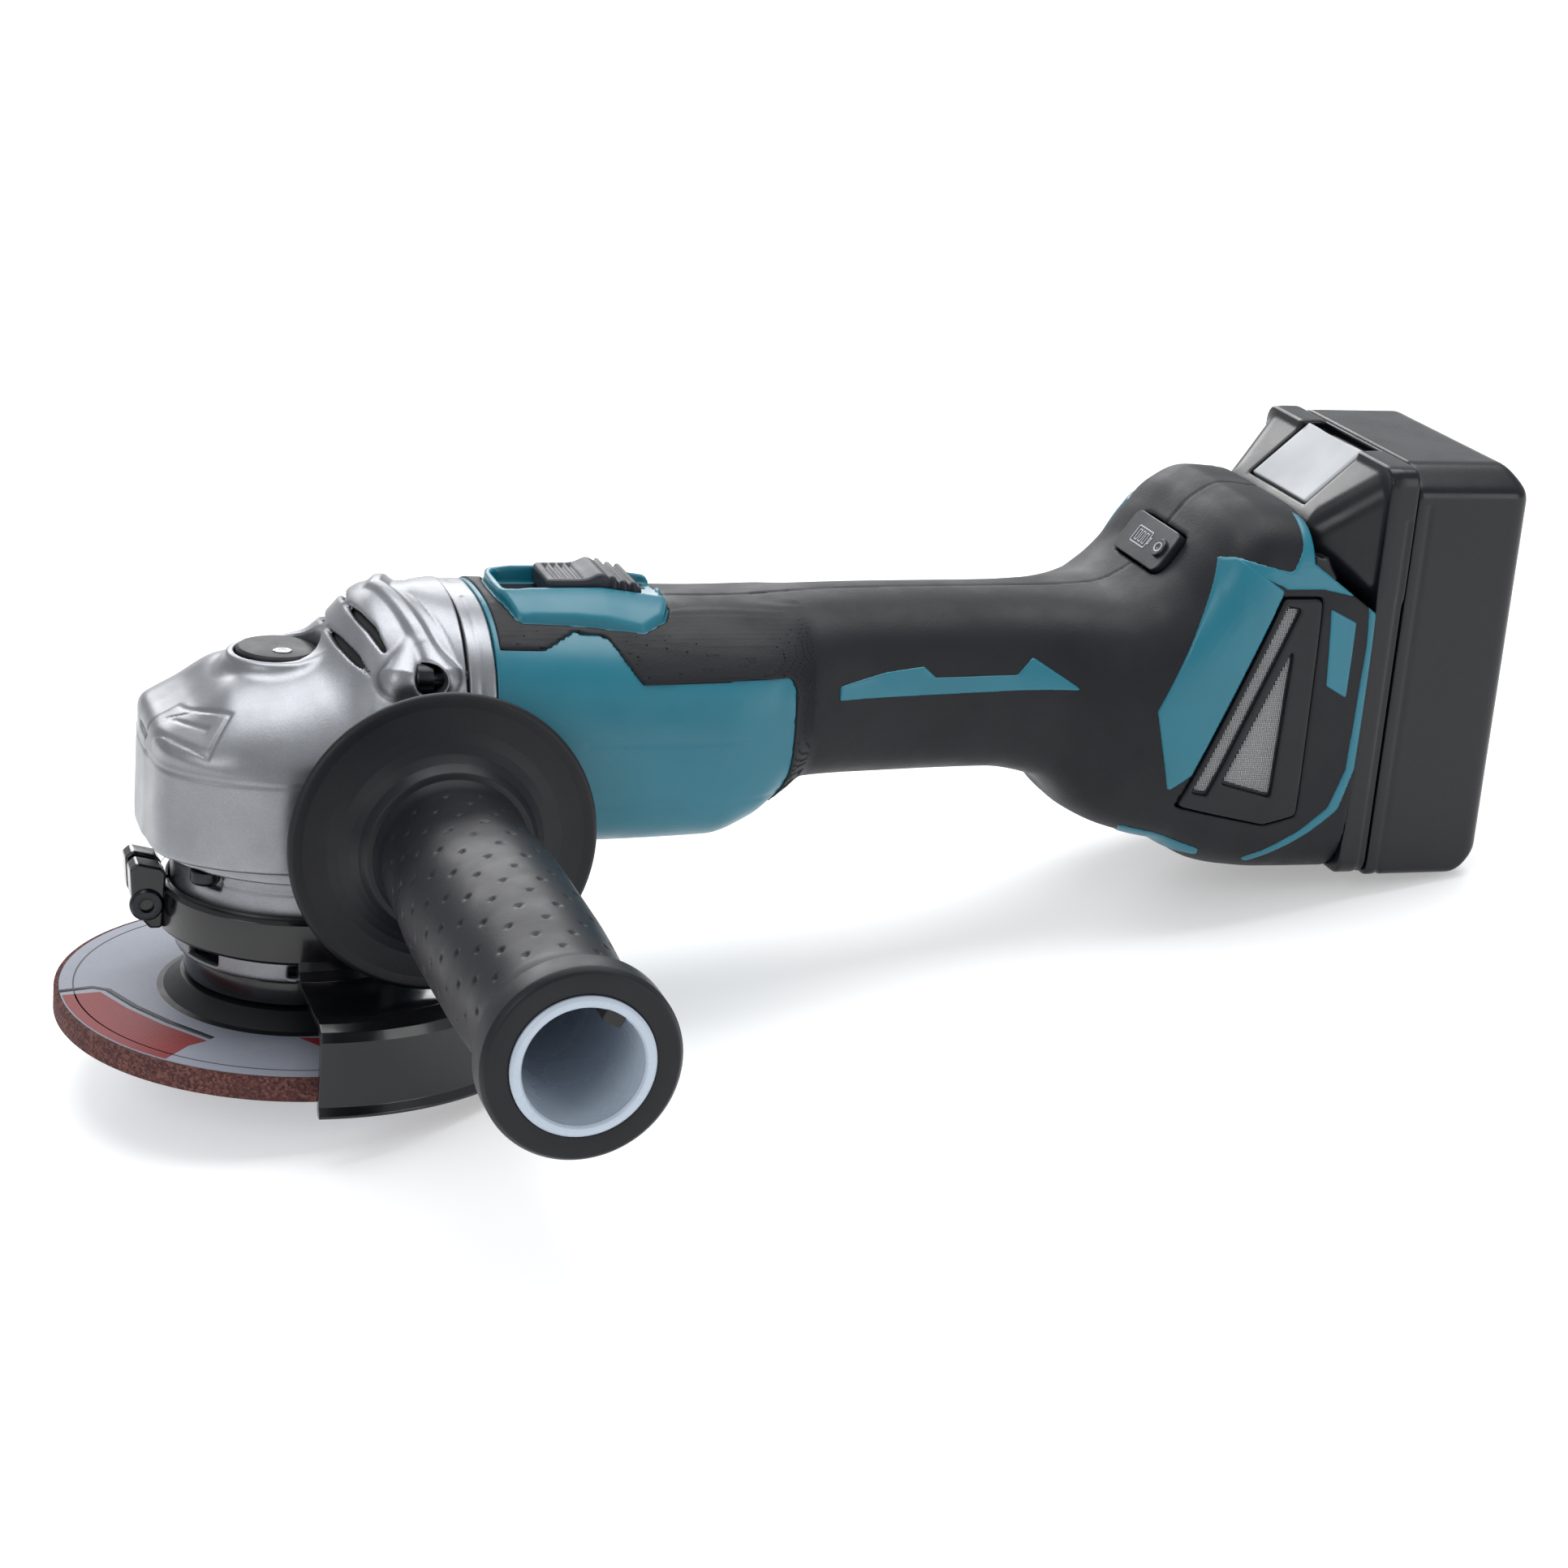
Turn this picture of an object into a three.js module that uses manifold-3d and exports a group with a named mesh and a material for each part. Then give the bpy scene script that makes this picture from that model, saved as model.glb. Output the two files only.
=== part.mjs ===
// Cordless angle grinder, 115 mm, modelled as its separate pieces.
// Millimetres. The spindle axis is Z and its end face is the origin; the body runs along +X to the
// battery, the side handle stands out along -Y, and the work is below (-Z).
import * as THREE from 'three';
import { mergeVertices } from 'three/addons/utils/BufferGeometryUtils.js';
import Module from 'manifold-3d';

const wasm = await Module();
wasm.setup();

// ---- driving dimensions -------------------------------------------------------------------------
const AXIS_Z = 78; // height of the motor axis above the spindle end
const SPINDLE_R = 6.9; // M14 thread, drawn plain
const SHAFT_R = 6; // spindle inside the gear case
const WHEEL_R = 57.5;
const WHEEL_T = 6;
const WHEEL_Z = -1; // working face of the wheel
const GUARD_R = 65;
const NECK_R = 30.2;
const BAND_R = 33.8;
const GEAR_TEETH = 33;
const PINION_TEETH = 10;
const GEAR_PITCH_R = 19;
const GEAR_FACE = 7.2;
const FLANGE_X = 33.6; // joint between the gear case and the motor-side ring
const MOTOR_X = 40.3; // front edge of the plastic housing
const REAR_X = 264.5; // rear edge of the plastic housing
const WALL = 2.6;
const HANDLE_X = 26.3;
const HANDLE_Z = 58.3;
const HANDLE_Y = -42;
const HANDLE_END_Y = -177;
const CELL_R = 9.1;
const CELL_L = 65;

// ---- colours ------------------------------------------------------------------------------------
const paint = (color, roughness, metalness = 0) =>
  new THREE.MeshStandardMaterial({ color, roughness, metalness });
const CAST = paint(0xb4b6b9, 0.42, 0.9);
const STEEL = paint(0xa9acae, 0.3, 1);
const DARK_STEEL = paint(0x2c2d2f, 0.4, 0.8);
const BLACK = paint(0x232427, 0.55);
const RUBBER = paint(0x27282b, 0.8);
const GUARD_BLACK = paint(0x141416, 0.25, 0.3);
const TEAL = paint(0x15717f, 0.45);
const WHITE = paint(0xdfe6ea, 0.4);
const SILVER = paint(0xd5d7d8, 0.35, 0.2);
const ABRASIVE = paint(0x5b4340, 0.95);
const BOARD = paint(0x1d4a2c, 0.5);
const COPPER = paint(0x9c5b33, 0.4, 0.8);
const CELL = paint(0x3b7f4b, 0.4);

// ---- solids -------------------------------------------------------------------------------------
function solid(geometry) {
  const plain = geometry.clone();
  plain.deleteAttribute('normal');
  plain.deleteAttribute('uv');
  const merged = mergeVertices(plain, 1e-4);
  const at = merged.attributes.position.array;
  const tri = [];
  let volume = 0;
  for (let i = 0; i < merged.index.count; i += 3) {
    const [a, b, c] = [0, 1, 2].map((k) => merged.index.getX(i + k));
    if (a === b || b === c || c === a) continue;
    tri.push(a, b, c);
    const [p, q, r] = [a, b, c].map((v) => new THREE.Vector3().fromArray(at, v * 3));
    volume += p.dot(q.cross(r));
  }
  if (volume < 0) for (let i = 0; i < tri.length; i += 3) [tri[i], tri[i + 1]] = [tri[i + 1], tri[i]];
  const data = { numProp: 3, vertProperties: new Float32Array(at), triVerts: new Uint32Array(tri) };
  return new wasm.Manifold(new wasm.Mesh(data));
}

function shell(manifold) {
  const mesh = manifold.getMesh();
  const geometry = new THREE.BufferGeometry();
  geometry.setAttribute('position', new THREE.BufferAttribute(mesh.vertProperties.slice(), 3));
  geometry.setIndex(new THREE.BufferAttribute(mesh.triVerts.slice(), 1));
  geometry.computeVertexNormals();
  return geometry;
}

const join = (first, ...rest) => rest.reduce((sum, piece) => sum.add(piece), first);
const cut = (first, ...rest) => rest.reduce((sum, piece) => sum.subtract(piece), first);

function part(name, material, shape) {
  const mesh = new THREE.Mesh(shape.getMesh ? shell(shape) : shape, material);
  mesh.name = name;
  return mesh;
}

const box = (x0, x1, y0, y1, z0, z1) =>
  solid(new THREE.BoxGeometry(x1 - x0, y1 - y0, z1 - z0)
    .translate((x0 + x1) / 2, (y0 + y1) / 2, (z0 + z1) / 2));

// Upright round bar from z0 to z1.
const rod = (r, z0, z1, x = 0, y = 0, n = 24, top = r) =>
  solid(new THREE.CylinderGeometry(top, r, z1 - z0, n).rotateX(Math.PI / 2)
    .translate(x, y, (z0 + z1) / 2));

// Round bar along X or along Y.
const rodX = (r, x0, x1, y = 0, z = AXIS_Z, n = 24) =>
  solid(new THREE.CylinderGeometry(r, r, x1 - x0, n).rotateZ(Math.PI / 2)
    .translate((x0 + x1) / 2, y, z));
const rodY = (r, y0, y1, x = HANDLE_X, z = HANDLE_Z, n = 24) =>
  solid(new THREE.CylinderGeometry(r, r, y1 - y0, n).translate(x, (y0 + y1) / 2, z));

// Closed [radius, height] profile turned about Z, or about the motor axis.
const turned = (profile, n = 24) =>
  new THREE.LatheGeometry([...profile, profile[0]].map(([r, z]) => new THREE.Vector2(r, z)), n)
    .rotateX(Math.PI / 2);
const turnedX = (profile, n = 24) => turned(profile, n).rotateY(Math.PI / 2).translate(0, 0, AXIS_Z);

const outline = (points) => new THREE.Shape(points.map(([a, b]) => new THREE.Vector2(a, b)));
const slab = (points, depth) =>
  new THREE.ExtrudeGeometry(outline(points), { depth, bevelEnabled: false, steps: 1 });
// Outline in XY from z0 to z1, in XZ from y0 to y1, in YZ from x0 to x1.
const prismZ = (points, z0, z1) => solid(slab(points, z1 - z0).translate(0, 0, z0));
const prismY = (points, y0, y1) => solid(slab(points, y1 - y0).rotateX(Math.PI / 2).translate(0, y1, 0));
const prismX = (points, x0, x1) => {
  const turn = new THREE.Matrix4().makeBasis(
    new THREE.Vector3(0, 1, 0), new THREE.Vector3(0, 0, 1), new THREE.Vector3(1, 0, 0));
  return solid(slab(points, x1 - x0).applyMatrix4(turn).translate(x0, 0, 0));
};

const roundedRect = (a0, a1, b0, b1, r, steps = 3) => {
  const corners = [[a1 - r, b1 - r, 0], [a0 + r, b1 - r, 1], [a0 + r, b0 + r, 2], [a1 - r, b0 + r, 3]];
  return corners.flatMap(([a, b, q]) => Array.from({ length: steps + 1 }, (_, i) => {
    const t = (q + i / steps) * Math.PI / 2;
    return [a + r * Math.cos(t), b + r * Math.sin(t)];
  }));
};

// Skin through rings of equal point count, closed by flat fans at both ends.
function loft(rings) {
  const n = rings[0].length;
  const position = rings.flat().flatMap((p) => p);
  const index = [];
  for (let s = 0; s + 1 < rings.length; s++)
    for (let i = 0; i < n; i++) {
      const [a, b] = [s * n + i, s * n + (i + 1) % n];
      index.push(a, b, a + n, b, b + n, a + n);
    }
  for (const s of [0, rings.length - 1]) {
    const middle = position.length / 3;
    const sum = rings[s].reduce((m, p) => m.map((v, k) => v + p[k] / n), [0, 0, 0]);
    position.push(...sum);
    for (let i = 0; i < n; i++) {
      const [a, b] = [s * n + i, s * n + (i + 1) % n];
      index.push(...(s ? [a, b, middle] : [b, a, middle]));
    }
  }
  const geometry = new THREE.BufferGeometry();
  geometry.setAttribute('position', new THREE.Float32BufferAttribute(position, 3));
  geometry.setIndex(index);
  return solid(geometry);
}

// ---- gear case ----------------------------------------------------------------------------------
// Cross-section of the case at x: straight sides up to the shoulder, then a curve to the flat top.
function caseRing([x, half, bottom, shoulder, flat, top, power]) {
  const right = [[half - 2, bottom], [half, bottom + 2]];
  for (let i = 0; i <= 5; i++) {
    const t = i / 5 * Math.PI / 2;
    right.push([flat + (half - flat) * Math.cos(t) ** (2 / power),
      shoulder + (top - shoulder) * Math.sin(t) ** (2 / power)]);
  }
  const left = right.map(([y, z]) => [-y, z]).reverse();
  return [...right, ...left].map(([y, z]) => [x, y, z]);
}

// x, half width, bottom, shoulder, half width of the flat top, top, curve power
const CASE = [
  [-38.6, 14, 50.5, 72.5, 8, 74.6, 2.0], [-37.2, 19, 48.2, 73, 10, 76.4, 1.9],
  [-33.5, 24.5, 47.5, 72.6, 12, 78.2, 1.8], [-28, 29.5, 47.5, 72, 12, 81.2, 1.7],
  [-19, 34, 47.5, 71, 9.5, 88.2, 1.6], [-8, 36.6, 47.5, 69.5, 10, 90.4, 1.6],
  [2, 37, 47.5, 69, 10, 93, 1.7], [12, 36.6, 47.5, 72, 7, 99.6, 1.8], [19.5, 36, 47.5, 76, 5, 109.2, 2.0],
  [26, 35.4, 47.5, 77, 5, 107.4, 2.1], [33.2, 35, 47.5, 77, 5, 107.2, 2.2],
];

// Conical shoulder that widens from the gears to the motor.
const SHOULDER = [[0, 2], [13.5, 2], [24.5, 6.4], [28.4, 11], [29, 16], [29, 33.2], [0, 33.2]];

function gearCase() {
  const shoulder = solid(turnedX(SHOULDER, 24)).intersect(box(0, 40, -50, 50, 47.5, 120));
  const skin = join(loft(CASE.map(caseRing)), shoulder);
  const bosses = CASE_SCREWS.map(([y, z]) =>
    rodX(5.4, 24.4, 33.2, y, z, 12).intersect(box(20, 33.2, -50, 50, 47.5, 120)));
  const handleBoss = [rodY(9.5, -41.5, -30), rodY(9.5, 30, 41.5)].map((b) =>
    b.intersect(box(10, 33.2, -50, 50, 40, 80)));
  const slots = [[9.4, 27.5], [4.8, 20.5]].map(([x, r]) => exhaustSlot(x, r));
  const mouths = slots.flatMap((slot) => [slot, slot.mirror([0, 1, 0])]);
  const hollow = [
    rod(23, 40, 76, 0, 0, 28), rod(6.3, 75, 85.6, 0, 0, 16), rodX(8.2, 8.4, 30, 0, AXIS_Z, 16),
    rodX(11.1, 24, 40), solid(turnedX([[14.5, 27.5], [25.5, 27.5], [25.5, 40], [14.5, 40]], 24)),
    rod(1.8, 74, 90, -10, 0, 10), rod(3.6, 80, 90, -10, 0, 12), rod(10.5, 86.8, 100, -6.5, 0, 24),
    rodY(4.2, -60, -24.6, HANDLE_X, HANDLE_Z, 12), rodY(4.2, 24.6, 60, HANDLE_X, HANDLE_Z, 12),
    ...CASE_SCREWS.flatMap(([y, z]) => [rodX(2.2, 10, 40, y, z, 8), rodX(4.3, 12, 24.8, y, z, 12)]),
    ...BOX_SCREWS.map(([x, y]) => rod(2.2, 40, 56, x, y, 8)),
  ];
  return part('gear_housing', CAST, cut(join(skin, ...bosses, ...handleBoss), ...mouths, ...hollow));
}

// One curved exhaust mouth in the shoulder, following a circle about the motor axis.
function exhaustSlot(x, r) {
  const ring = [];
  for (let i = 0; i <= 4; i++) {
    const t = (62 - i * 11.2) * Math.PI / 180;
    const radial = [Math.cos(t), Math.sin(t)];
    const corner = (dx, dr) => [x + dx, -(r + dr) * radial[0] * 0.86, AXIS_Z + (r + dr) * radial[1]];
    ring.push([corner(-1.7, -3), corner(1.7, -3), corner(1.7, 9), corner(-1.7, 9)]);
  }
  return loft(ring);
}

const CASE_SCREWS = [[-28.5, 93.5], [28.5, 93.5], [-14, 51.6], [14, 51.6]];
const BOX_SCREWS = [[-25.2, -20], [-25.2, 20], [24.4, -20], [24.4, 20]];

function caseScrew(index) {
  const [y, z] = CASE_SCREWS[index];
  const body = cut(join(rodX(3.6, 21.4, 24.6, y, z, 12), rodX(2, 24.2, 43.4, y, z, 8)),
    rodX(1.6, 20, 23, y, z, 6));
  return part(`gear_housing_screw_${index + 1}`, DARK_STEEL, body);
}

function boxScrew(index) {
  const [x, y] = BOX_SCREWS[index];
  const body = cut(join(rod(3.6, 40.8, 43.8, x, y, 12), rod(1.9, 43.5, 55.5, x, y, 8)),
    rod(1.5, 40, 42.4, x, y, 6));
  return part(`bearing_box_screw_${index + 1}`, DARK_STEEL, body);
}

// Motor-side ring: same outline as the plastic housing behind it.
function flangeRing() {
  const body = loft([FLANGE_X, MOTOR_X - 0.3].map((x) => bodyRing([x, 46.5, 107, 34.8, 2.5])));
  const holes = CASE_SCREWS.map(([y, z]) => rodX(2.2, 30, 42, y, z, 8));
  return part('housing_flange_ring', CAST, cut(body, rodX(24.4, 30, 42, 0, AXIS_Z, 24), ...holes));
}

// ---- bearing box, spindle and wheel -------------------------------------------------------------
function bearingBox() {
  const neck = solid(turned([[9, 24], [26, 24], [26.4, 17], [28.6, 17], [28.6, 22.6], [NECK_R, 23.4],
    [NECK_R, 45], [16.1, 45], [16.1, 36], [9, 36]], 28));
  const plan = [];
  for (let i = 0; i <= 16; i++) {
    const t = Math.PI / 2 + i / 16 * Math.PI;
    plan.push([Math.cos(t) * 36.4 + 1, Math.sin(t) * 34.5]);
  }
  plan.push([32.6, -33.5], [32.6, 33.5]);
  const plate = cut(prismZ(plan, 44, 47.2), rod(16.1, 40, 50, 0, 0, 28));
  const scallops = BOX_SCREWS.flatMap(([x, y]) => [rod(4, 38, 44, x, y, 10), rod(2.2, 40, 50, x, y, 8)]);
  const slots = Array.from({ length: 6 }, (_, i) => 30 + i * 60).map((a) => {
    const slot = new THREE.BoxGeometry(8, 11, 3.4).translate(28.5, 0, 19.8);
    return solid(slot.rotateZ(a * Math.PI / 180));
  });
  return part('bearing_box', CAST, cut(join(neck, plate), ...scallops, ...slots));
}

function spindle() {
  const body = solid(turned([[0, 0], [SPINDLE_R - 0.6, 0], [SPINDLE_R, 0.8], [SPINDLE_R, 17], [7.6, 17],
    [7.6, 35.6], [SHAFT_R, 35.6], [SHAFT_R, 74], [3.5, 74], [3.5, 85.2], [0, 85.2]], 17));
  const flats = [box(5.6, 9, -9, 9, 17.4, 22), box(-9, -5.6, -9, 9, 17.4, 22)];
  return part('spindle', STEEL, cut(body, ...flats));
}

const ballBearing = (name, inner, outer, z0, z1) =>
  part(name, STEEL, turned([[inner, z0], [outer, z0], [outer, z1], [inner, z1]], 20));

// Straight tapered teeth whose edges all run to the point where the two gear axes meet.
// slope is the pitch cone angle from the gear's own axis; the cone opens along -Z before turning.
function teeth(count, slope, phase) {
  const reach = GEAR_PITCH_R / Math.sin(Math.atan(GEAR_TEETH / PINION_TEETH));
  const pitch = 2 * Math.PI * GEAR_PITCH_R / GEAR_TEETH;
  const made = [];
  for (let k = 0; k < count; k++) {
    const a = phase + k / count * 2 * Math.PI;
    const along = new THREE.Vector3(Math.sin(slope) * Math.cos(a), Math.sin(slope) * Math.sin(a), -Math.cos(slope));
    const out = new THREE.Vector3(Math.cos(slope) * Math.cos(a), Math.cos(slope) * Math.sin(a), Math.sin(slope));
    const side = new THREE.Vector3(-Math.sin(a), Math.cos(a), 0);
    const ring = [reach - GEAR_FACE, reach].map((length) => {
      const scale = length / reach;
      return [[-0.23, -1.5], [0.23, -1.5], [0.09, 0.75], [-0.09, 0.75]].map(([s, h]) =>
        along.clone().multiplyScalar(length).addScaledVector(side, s * pitch * scale)
          .addScaledVector(out, h * scale).toArray());
    });
    made.push(loft(ring));
  }
  return made;
}

function bevelGear() {
  const slope = Math.atan(GEAR_TEETH / PINION_TEETH);
  const blank = solid(turned([[6.05, -18], [9, -18], [9, -14], [19.6, -10], [19.1, -6.9], [12, -4.75],
    [12, -7.5], [6.05, -7.5]], 33));
  const pockets = [0, 1, 2, 3].map((i) =>
    solid(new THREE.BoxGeometry(4, 4.6, 3).translate(9.9, 0, -8.8).rotateZ(i * Math.PI / 2)));
  const gear = part('bevel_gear', STEEL, cut(join(blank, ...teeth(GEAR_TEETH, slope, 0)), ...pockets));
  gear.position.z = AXIS_Z;
  return gear;
}

function pinion() {
  const slope = Math.atan(PINION_TEETH / GEAR_TEETH);
  const blank = solid(turned([[2.55, -11.9], [2.9, -11.9], [4.9, -19.2], [4.9, -22.5], [2.55, -22.5]], 20));
  const gear = part('pinion', STEEL, join(blank, ...teeth(PINION_TEETH, slope, Math.PI / PINION_TEETH)));
  gear.position.z = AXIS_Z;
  gear.rotation.set(0, -Math.PI / 2, 0);
  return gear;
}

const innerFlange = () => part('inner_flange', DARK_STEEL, turned([[6.96, 5.2], [11, 5.2], [11, 9.4],
  [24, 9.4], [26.2, 10.4], [26.2, 16.4], [6.96, 16.4]], 28));

const grindingWheel = () => part('grinding_wheel', ABRASIVE, turned([[11.2, 3.4], [21, 3.4], [27, WHEEL_Z],
  [WHEEL_R, WHEEL_Z], [WHEEL_R, WHEEL_Z + WHEEL_T], [31.4, WHEEL_Z + WHEEL_T], [26.8, 9.2], [11.2, 9.2]], 32));

function lockNut() {
  const body = solid(turned([[6.96, 0.3], [18, 0.3], [18.8, 1.2], [18.8, 3.1], [6.96, 3.1]], 24));
  const holes = [0, 1, 2, 3].map((i) => {
    const t = i * Math.PI / 2 + Math.PI / 4;
    return rod(1.9, -1, 4, 13.5 * Math.cos(t), 13.5 * Math.sin(t), 8);
  });
  return part('lock_nut', DARK_STEEL, cut(body, ...holes));
}

function wheelGuard() {
  const hood = solid(turned([[BAND_R - 3, 18.8], [60.5, 18.8], [63.2, 16.4], [63.2, -0.4], [64.4, -1.7],
    [66.4, -1.7], [GUARD_R, 0.8], [GUARD_R, 17.2], [61.4, 20.6], [BAND_R - 3, 20.6]], 40));
  const band = solid(turned([[30.6, 19.8], [BAND_R - 0.6, 19.8], [BAND_R, 24], [BAND_R, 33.8],
    [BAND_R - 1, 34.8], [30.6, 34.8]], 28));
  const lug = prismX([[-7.5, 24], [7.5, 24], [7.5, 37.5], [-7.5, 37.5]], -40.5, -32.4);
  const body = join(hood.intersect(box(-4.5, 70, -70, 70, -5, 40)), band, lug);
  return part('wheel_guard', GUARD_BLACK, cut(body, rod(30.6, 20, 40, 0, 0, 28),
    box(-45, -28, -1, 1, 20, 40), rodY(2.2, -9, 12, -37, 30.5, 10), rodY(4.4, -9, -6.2, -37, 30.5, 12)));
}

const clampScrew = () => part('guard_clamp_screw', DARK_STEEL, cut(
  join(rodY(4.1, -8.6, -6.3, -37, 30.5, 12), rodY(2, -6.5, 9.6, -37, 30.5, 8)),
  rodY(1.6, -9, -7.4, -37, 30.5, 6)));

// ---- shaft lock ---------------------------------------------------------------------------------
function lockButton() {
  const body = solid(turned([[0, 89.5], [9.9, 89.5], [9.9, 92.2], [9, 92.9], [0, 93.3]], 20).translate(-6.5, 0, 0));
  return part('shaft_lock_button', BLACK, cut(body, rod(1.6, 88, 91, -10, 0, 10)));
}

const lockPin = () => part('shaft_lock_pin', STEEL,
  join(rod(1.5, 71.2, 90.9, -10, 0, 10), rod(2.1, 88.3, 89.4, -10, 0, 10)));

function coil(radius, wire, z0, z1, turns, x, y) {
  const points = [];
  for (let i = 0; i <= turns * 8; i++) {
    const t = i / 8 * 2 * Math.PI;
    points.push(new THREE.Vector3(x + radius * Math.cos(t), y + radius * Math.sin(t),
      z0 + wire + (z1 - z0 - 2 * wire) * i / (turns * 8)));
  }
  const section = new THREE.Shape(Array.from({ length: 4 }, (_, i) =>
    new THREE.Vector2(wire * Math.cos(i * 0.5 * Math.PI), wire * Math.sin(i * 0.5 * Math.PI))));
  const path = new THREE.CatmullRomCurve3(points);
  return new THREE.ExtrudeGeometry(section, { steps: turns * 8, bevelEnabled: false, extrudePath: path });
}

const lockSpring = () => part('shaft_lock_spring', STEEL, coil(2.75, 0.35, 80.1, 88.1, 4, -10, 0));

// ---- motor --------------------------------------------------------------------------------------
const rotorShaft = () => part('rotor_shaft', STEEL, turnedX([[0, 11.2], [2.5, 11.2], [2.5, 24.4],
  [4, 24.4], [4, 100], [0, 100]], 16));

const rotorCore = () => part('rotor_core', DARK_STEEL, turnedX([[4.05, 54], [13.6, 54], [13.6, 88],
  [4.05, 88]], 24));

function stator() {
  const ring = cut(rodX(22.4, 55, 87, 0, AXIS_Z, 28), rodX(18.6, 50, 92, 0, AXIS_Z, 28));
  const poles = Array.from({ length: 6 }, (_, i) => {
    const tooth = new THREE.BoxGeometry(32, 8, 7.4).translate(71, 0, 17.4);
    return solid(tooth.rotateX(i * Math.PI / 3).translate(0, 0, AXIS_Z));
  });
  return part('motor_stator', COPPER, cut(join(ring, ...poles), rodX(14.2, 50, 92, 0, AXIS_Z, 24)));
}

function fan() {
  const hub = solid(turnedX([[4.05, 41.5], [7, 41.5], [7, 47.5], [23.2, 47.5], [23.2, 49.3], [4.05, 49.3]], 20));
  const blades = Array.from({ length: 9 }, (_, i) => {
    const blade = new THREE.BoxGeometry(5.2, 1.2, 14.4).translate(45.2, 0, 15.7);
    return solid(blade.rotateX(i * 2 * Math.PI / 9).translate(0, 0, AXIS_Z));
  });
  return part('fan', BLACK, join(hub, ...blades));
}

const rotorBearing = (name, outer, x0, x1) => {
  const bearing = ballBearing(name, 4.1, outer, x0, x1);
  bearing.geometry.rotateY(Math.PI / 2).translate(0, 0, AXIS_Z);
  return bearing;
};

// ---- plastic housing ----------------------------------------------------------------------------
// Cross-section of the housing: a rounded box between two heights.
function bodyRing([x, low, high, half, power], inset = 0, n = 22) {
  const [middle, rise] = [(low + high) / 2, (high - low) / 2 - inset];
  return Array.from({ length: n }, (_, i) => {
    const t = i / n * 2 * Math.PI;
    const [c, s] = [Math.cos(t), Math.sin(t)];
    return [x, (half - inset) * Math.sign(c) * Math.abs(c) ** (2 / power),
      middle + rise * Math.sign(s) * Math.abs(s) ** (2 / power)];
  });
}

// x, underside, top, half width, squareness: motor, barrel grip, then the foot that holds the battery
const BODY = [
  [MOTOR_X, 46.5, 107, 34.8, 2.5], [60, 46, 106.4, 35.2, 2.5], [98, 47, 105.2, 35, 2.5],
  [108, 51, 105.3, 33.8, 2.5], [116, 57, 105.8, 30.5, 2.5], [124, 60.8, 106.3, 25.6, 2.4],
  [140, 61.4, 106.9, 23.4, 2.4], [174, 62.2, 107.2, 23.2, 2.4],
  [188, 60, 107.4, 24.8, 2.6], [197, 52, 107.7, 29, 3], [204, 49, 108.4, 33, 3.4],
  [211, 47.6, 111.4, 36, 3.8], [217, 46.6, 116.4, 37.6, 4], [223, 43.4, 124.4, 38.3, 4.2],
  [229, 40.6, 131.4, 38.6, 4.4], [236, 39.3, 134.6, 38.6, 4.6], [246, 38.8, 133.6, 38.6, 5],
  [REAR_X, 38.6, 131, 38.6, 5],
];
// Side outline of the room that the battery fills, and the slope where its head rests on the foot.
const BATTERY_ROOM = [[246.9, 200], [246.9, 123.6], [REAR_X + 0.1, 111.2], [300, 111.2], [300, 200]];

function housing(side) {
  const skin = loft(BODY.map((row) => bodyRing(row)));
  const inner = BODY.filter((_, i) => i % 2 || i === 2 || i === 8).map((row) => bodyRing(row, WALL));
  inner[0].forEach((p) => { p[0] = 46; });
  inner[inner.length - 1].forEach((p) => { p[0] = 243.6; });
  const openings = [
    loft(inner), rodX(24.4, 30, 50, 0, AXIS_Z, 24), prismY(BATTERY_ROOM, -50, 50),
    box(249.9, 290, -29.5, 29.5, 44, 140), box(242, 252, -14.4, 14.4, 49.6, 70.4),
    box(246.9, 255, -12.6, 12.6, 111.6, 140), box(54, 82, -3.4, 3.4, 100, 120),
    onPanel(new THREE.BoxGeometry(12.8, 28.4, 5), 0.2),
    ...CASE_SCREWS.map(([y, z]) => rodX(2.2, 38, 43.8, y, z, 8)),
    ...[-1, 1].map((s) => prismY(VENT, ...(s < 0 ? [-45, -32] : [32, 45]))),
    ...SIDE_SCREWS.map(([x, z]) => rodY(1.8, -14, 60, x, z, 8)),
    ...SIDE_SCREWS.map(([x, z, y]) => rodY(3.5, y, 60, x, z, 12)),
  ];
  const rails = [box(257.9, 262, -30, -26.3, 46, 111), box(257.9, 262, 26.3, 30, 46, 111)];
  const bezel = cut(prismZ(BEZEL, 103, 110.8), prismZ(inset(BEZEL, 4), 108.2, 120));
  const pillars = SIDE_SCREWS.map(([x, z, y]) => cut(rodY(3.9, -30, 30, x, z, 8).intersect(skin),
    rodY(1.8, -14, 60, x, z, 8), rodY(3.5, y, 60, x, z, 12)));
  const body = join(cut(join(skin, cut(bezel, box(54, 82, -3.4, 3.4, 100, 120))), ...openings), ...rails,
    ...pillars);
  const half = side < 0 ? box(0, 400, -60, -0.05, 0, 200) : box(0, 400, 0.05, 60, 0, 200);
  return part(side < 0 ? 'housing_left' : 'housing_right', TEAL, body.intersect(half));
}

// Side outline of the vent cover, plan outline of the switch bezel, and the clamshell screws [x, z, head y].
const VENT = [[216.4, 60], [240.8, 54.8], [249.6, 57.2], [249.2, 115.4], [238.4, 115.4]];
const BEZEL = [[43, -8], [48, -14], [78, -14], [86, -9.5], [88.5, 0], [86, 9.5], [78, 14], [48, 14], [43, 8]];
const SIDE_SCREWS = [[112, 92, 24], [160, 85.5, 17], [200, 88, 22]];

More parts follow.
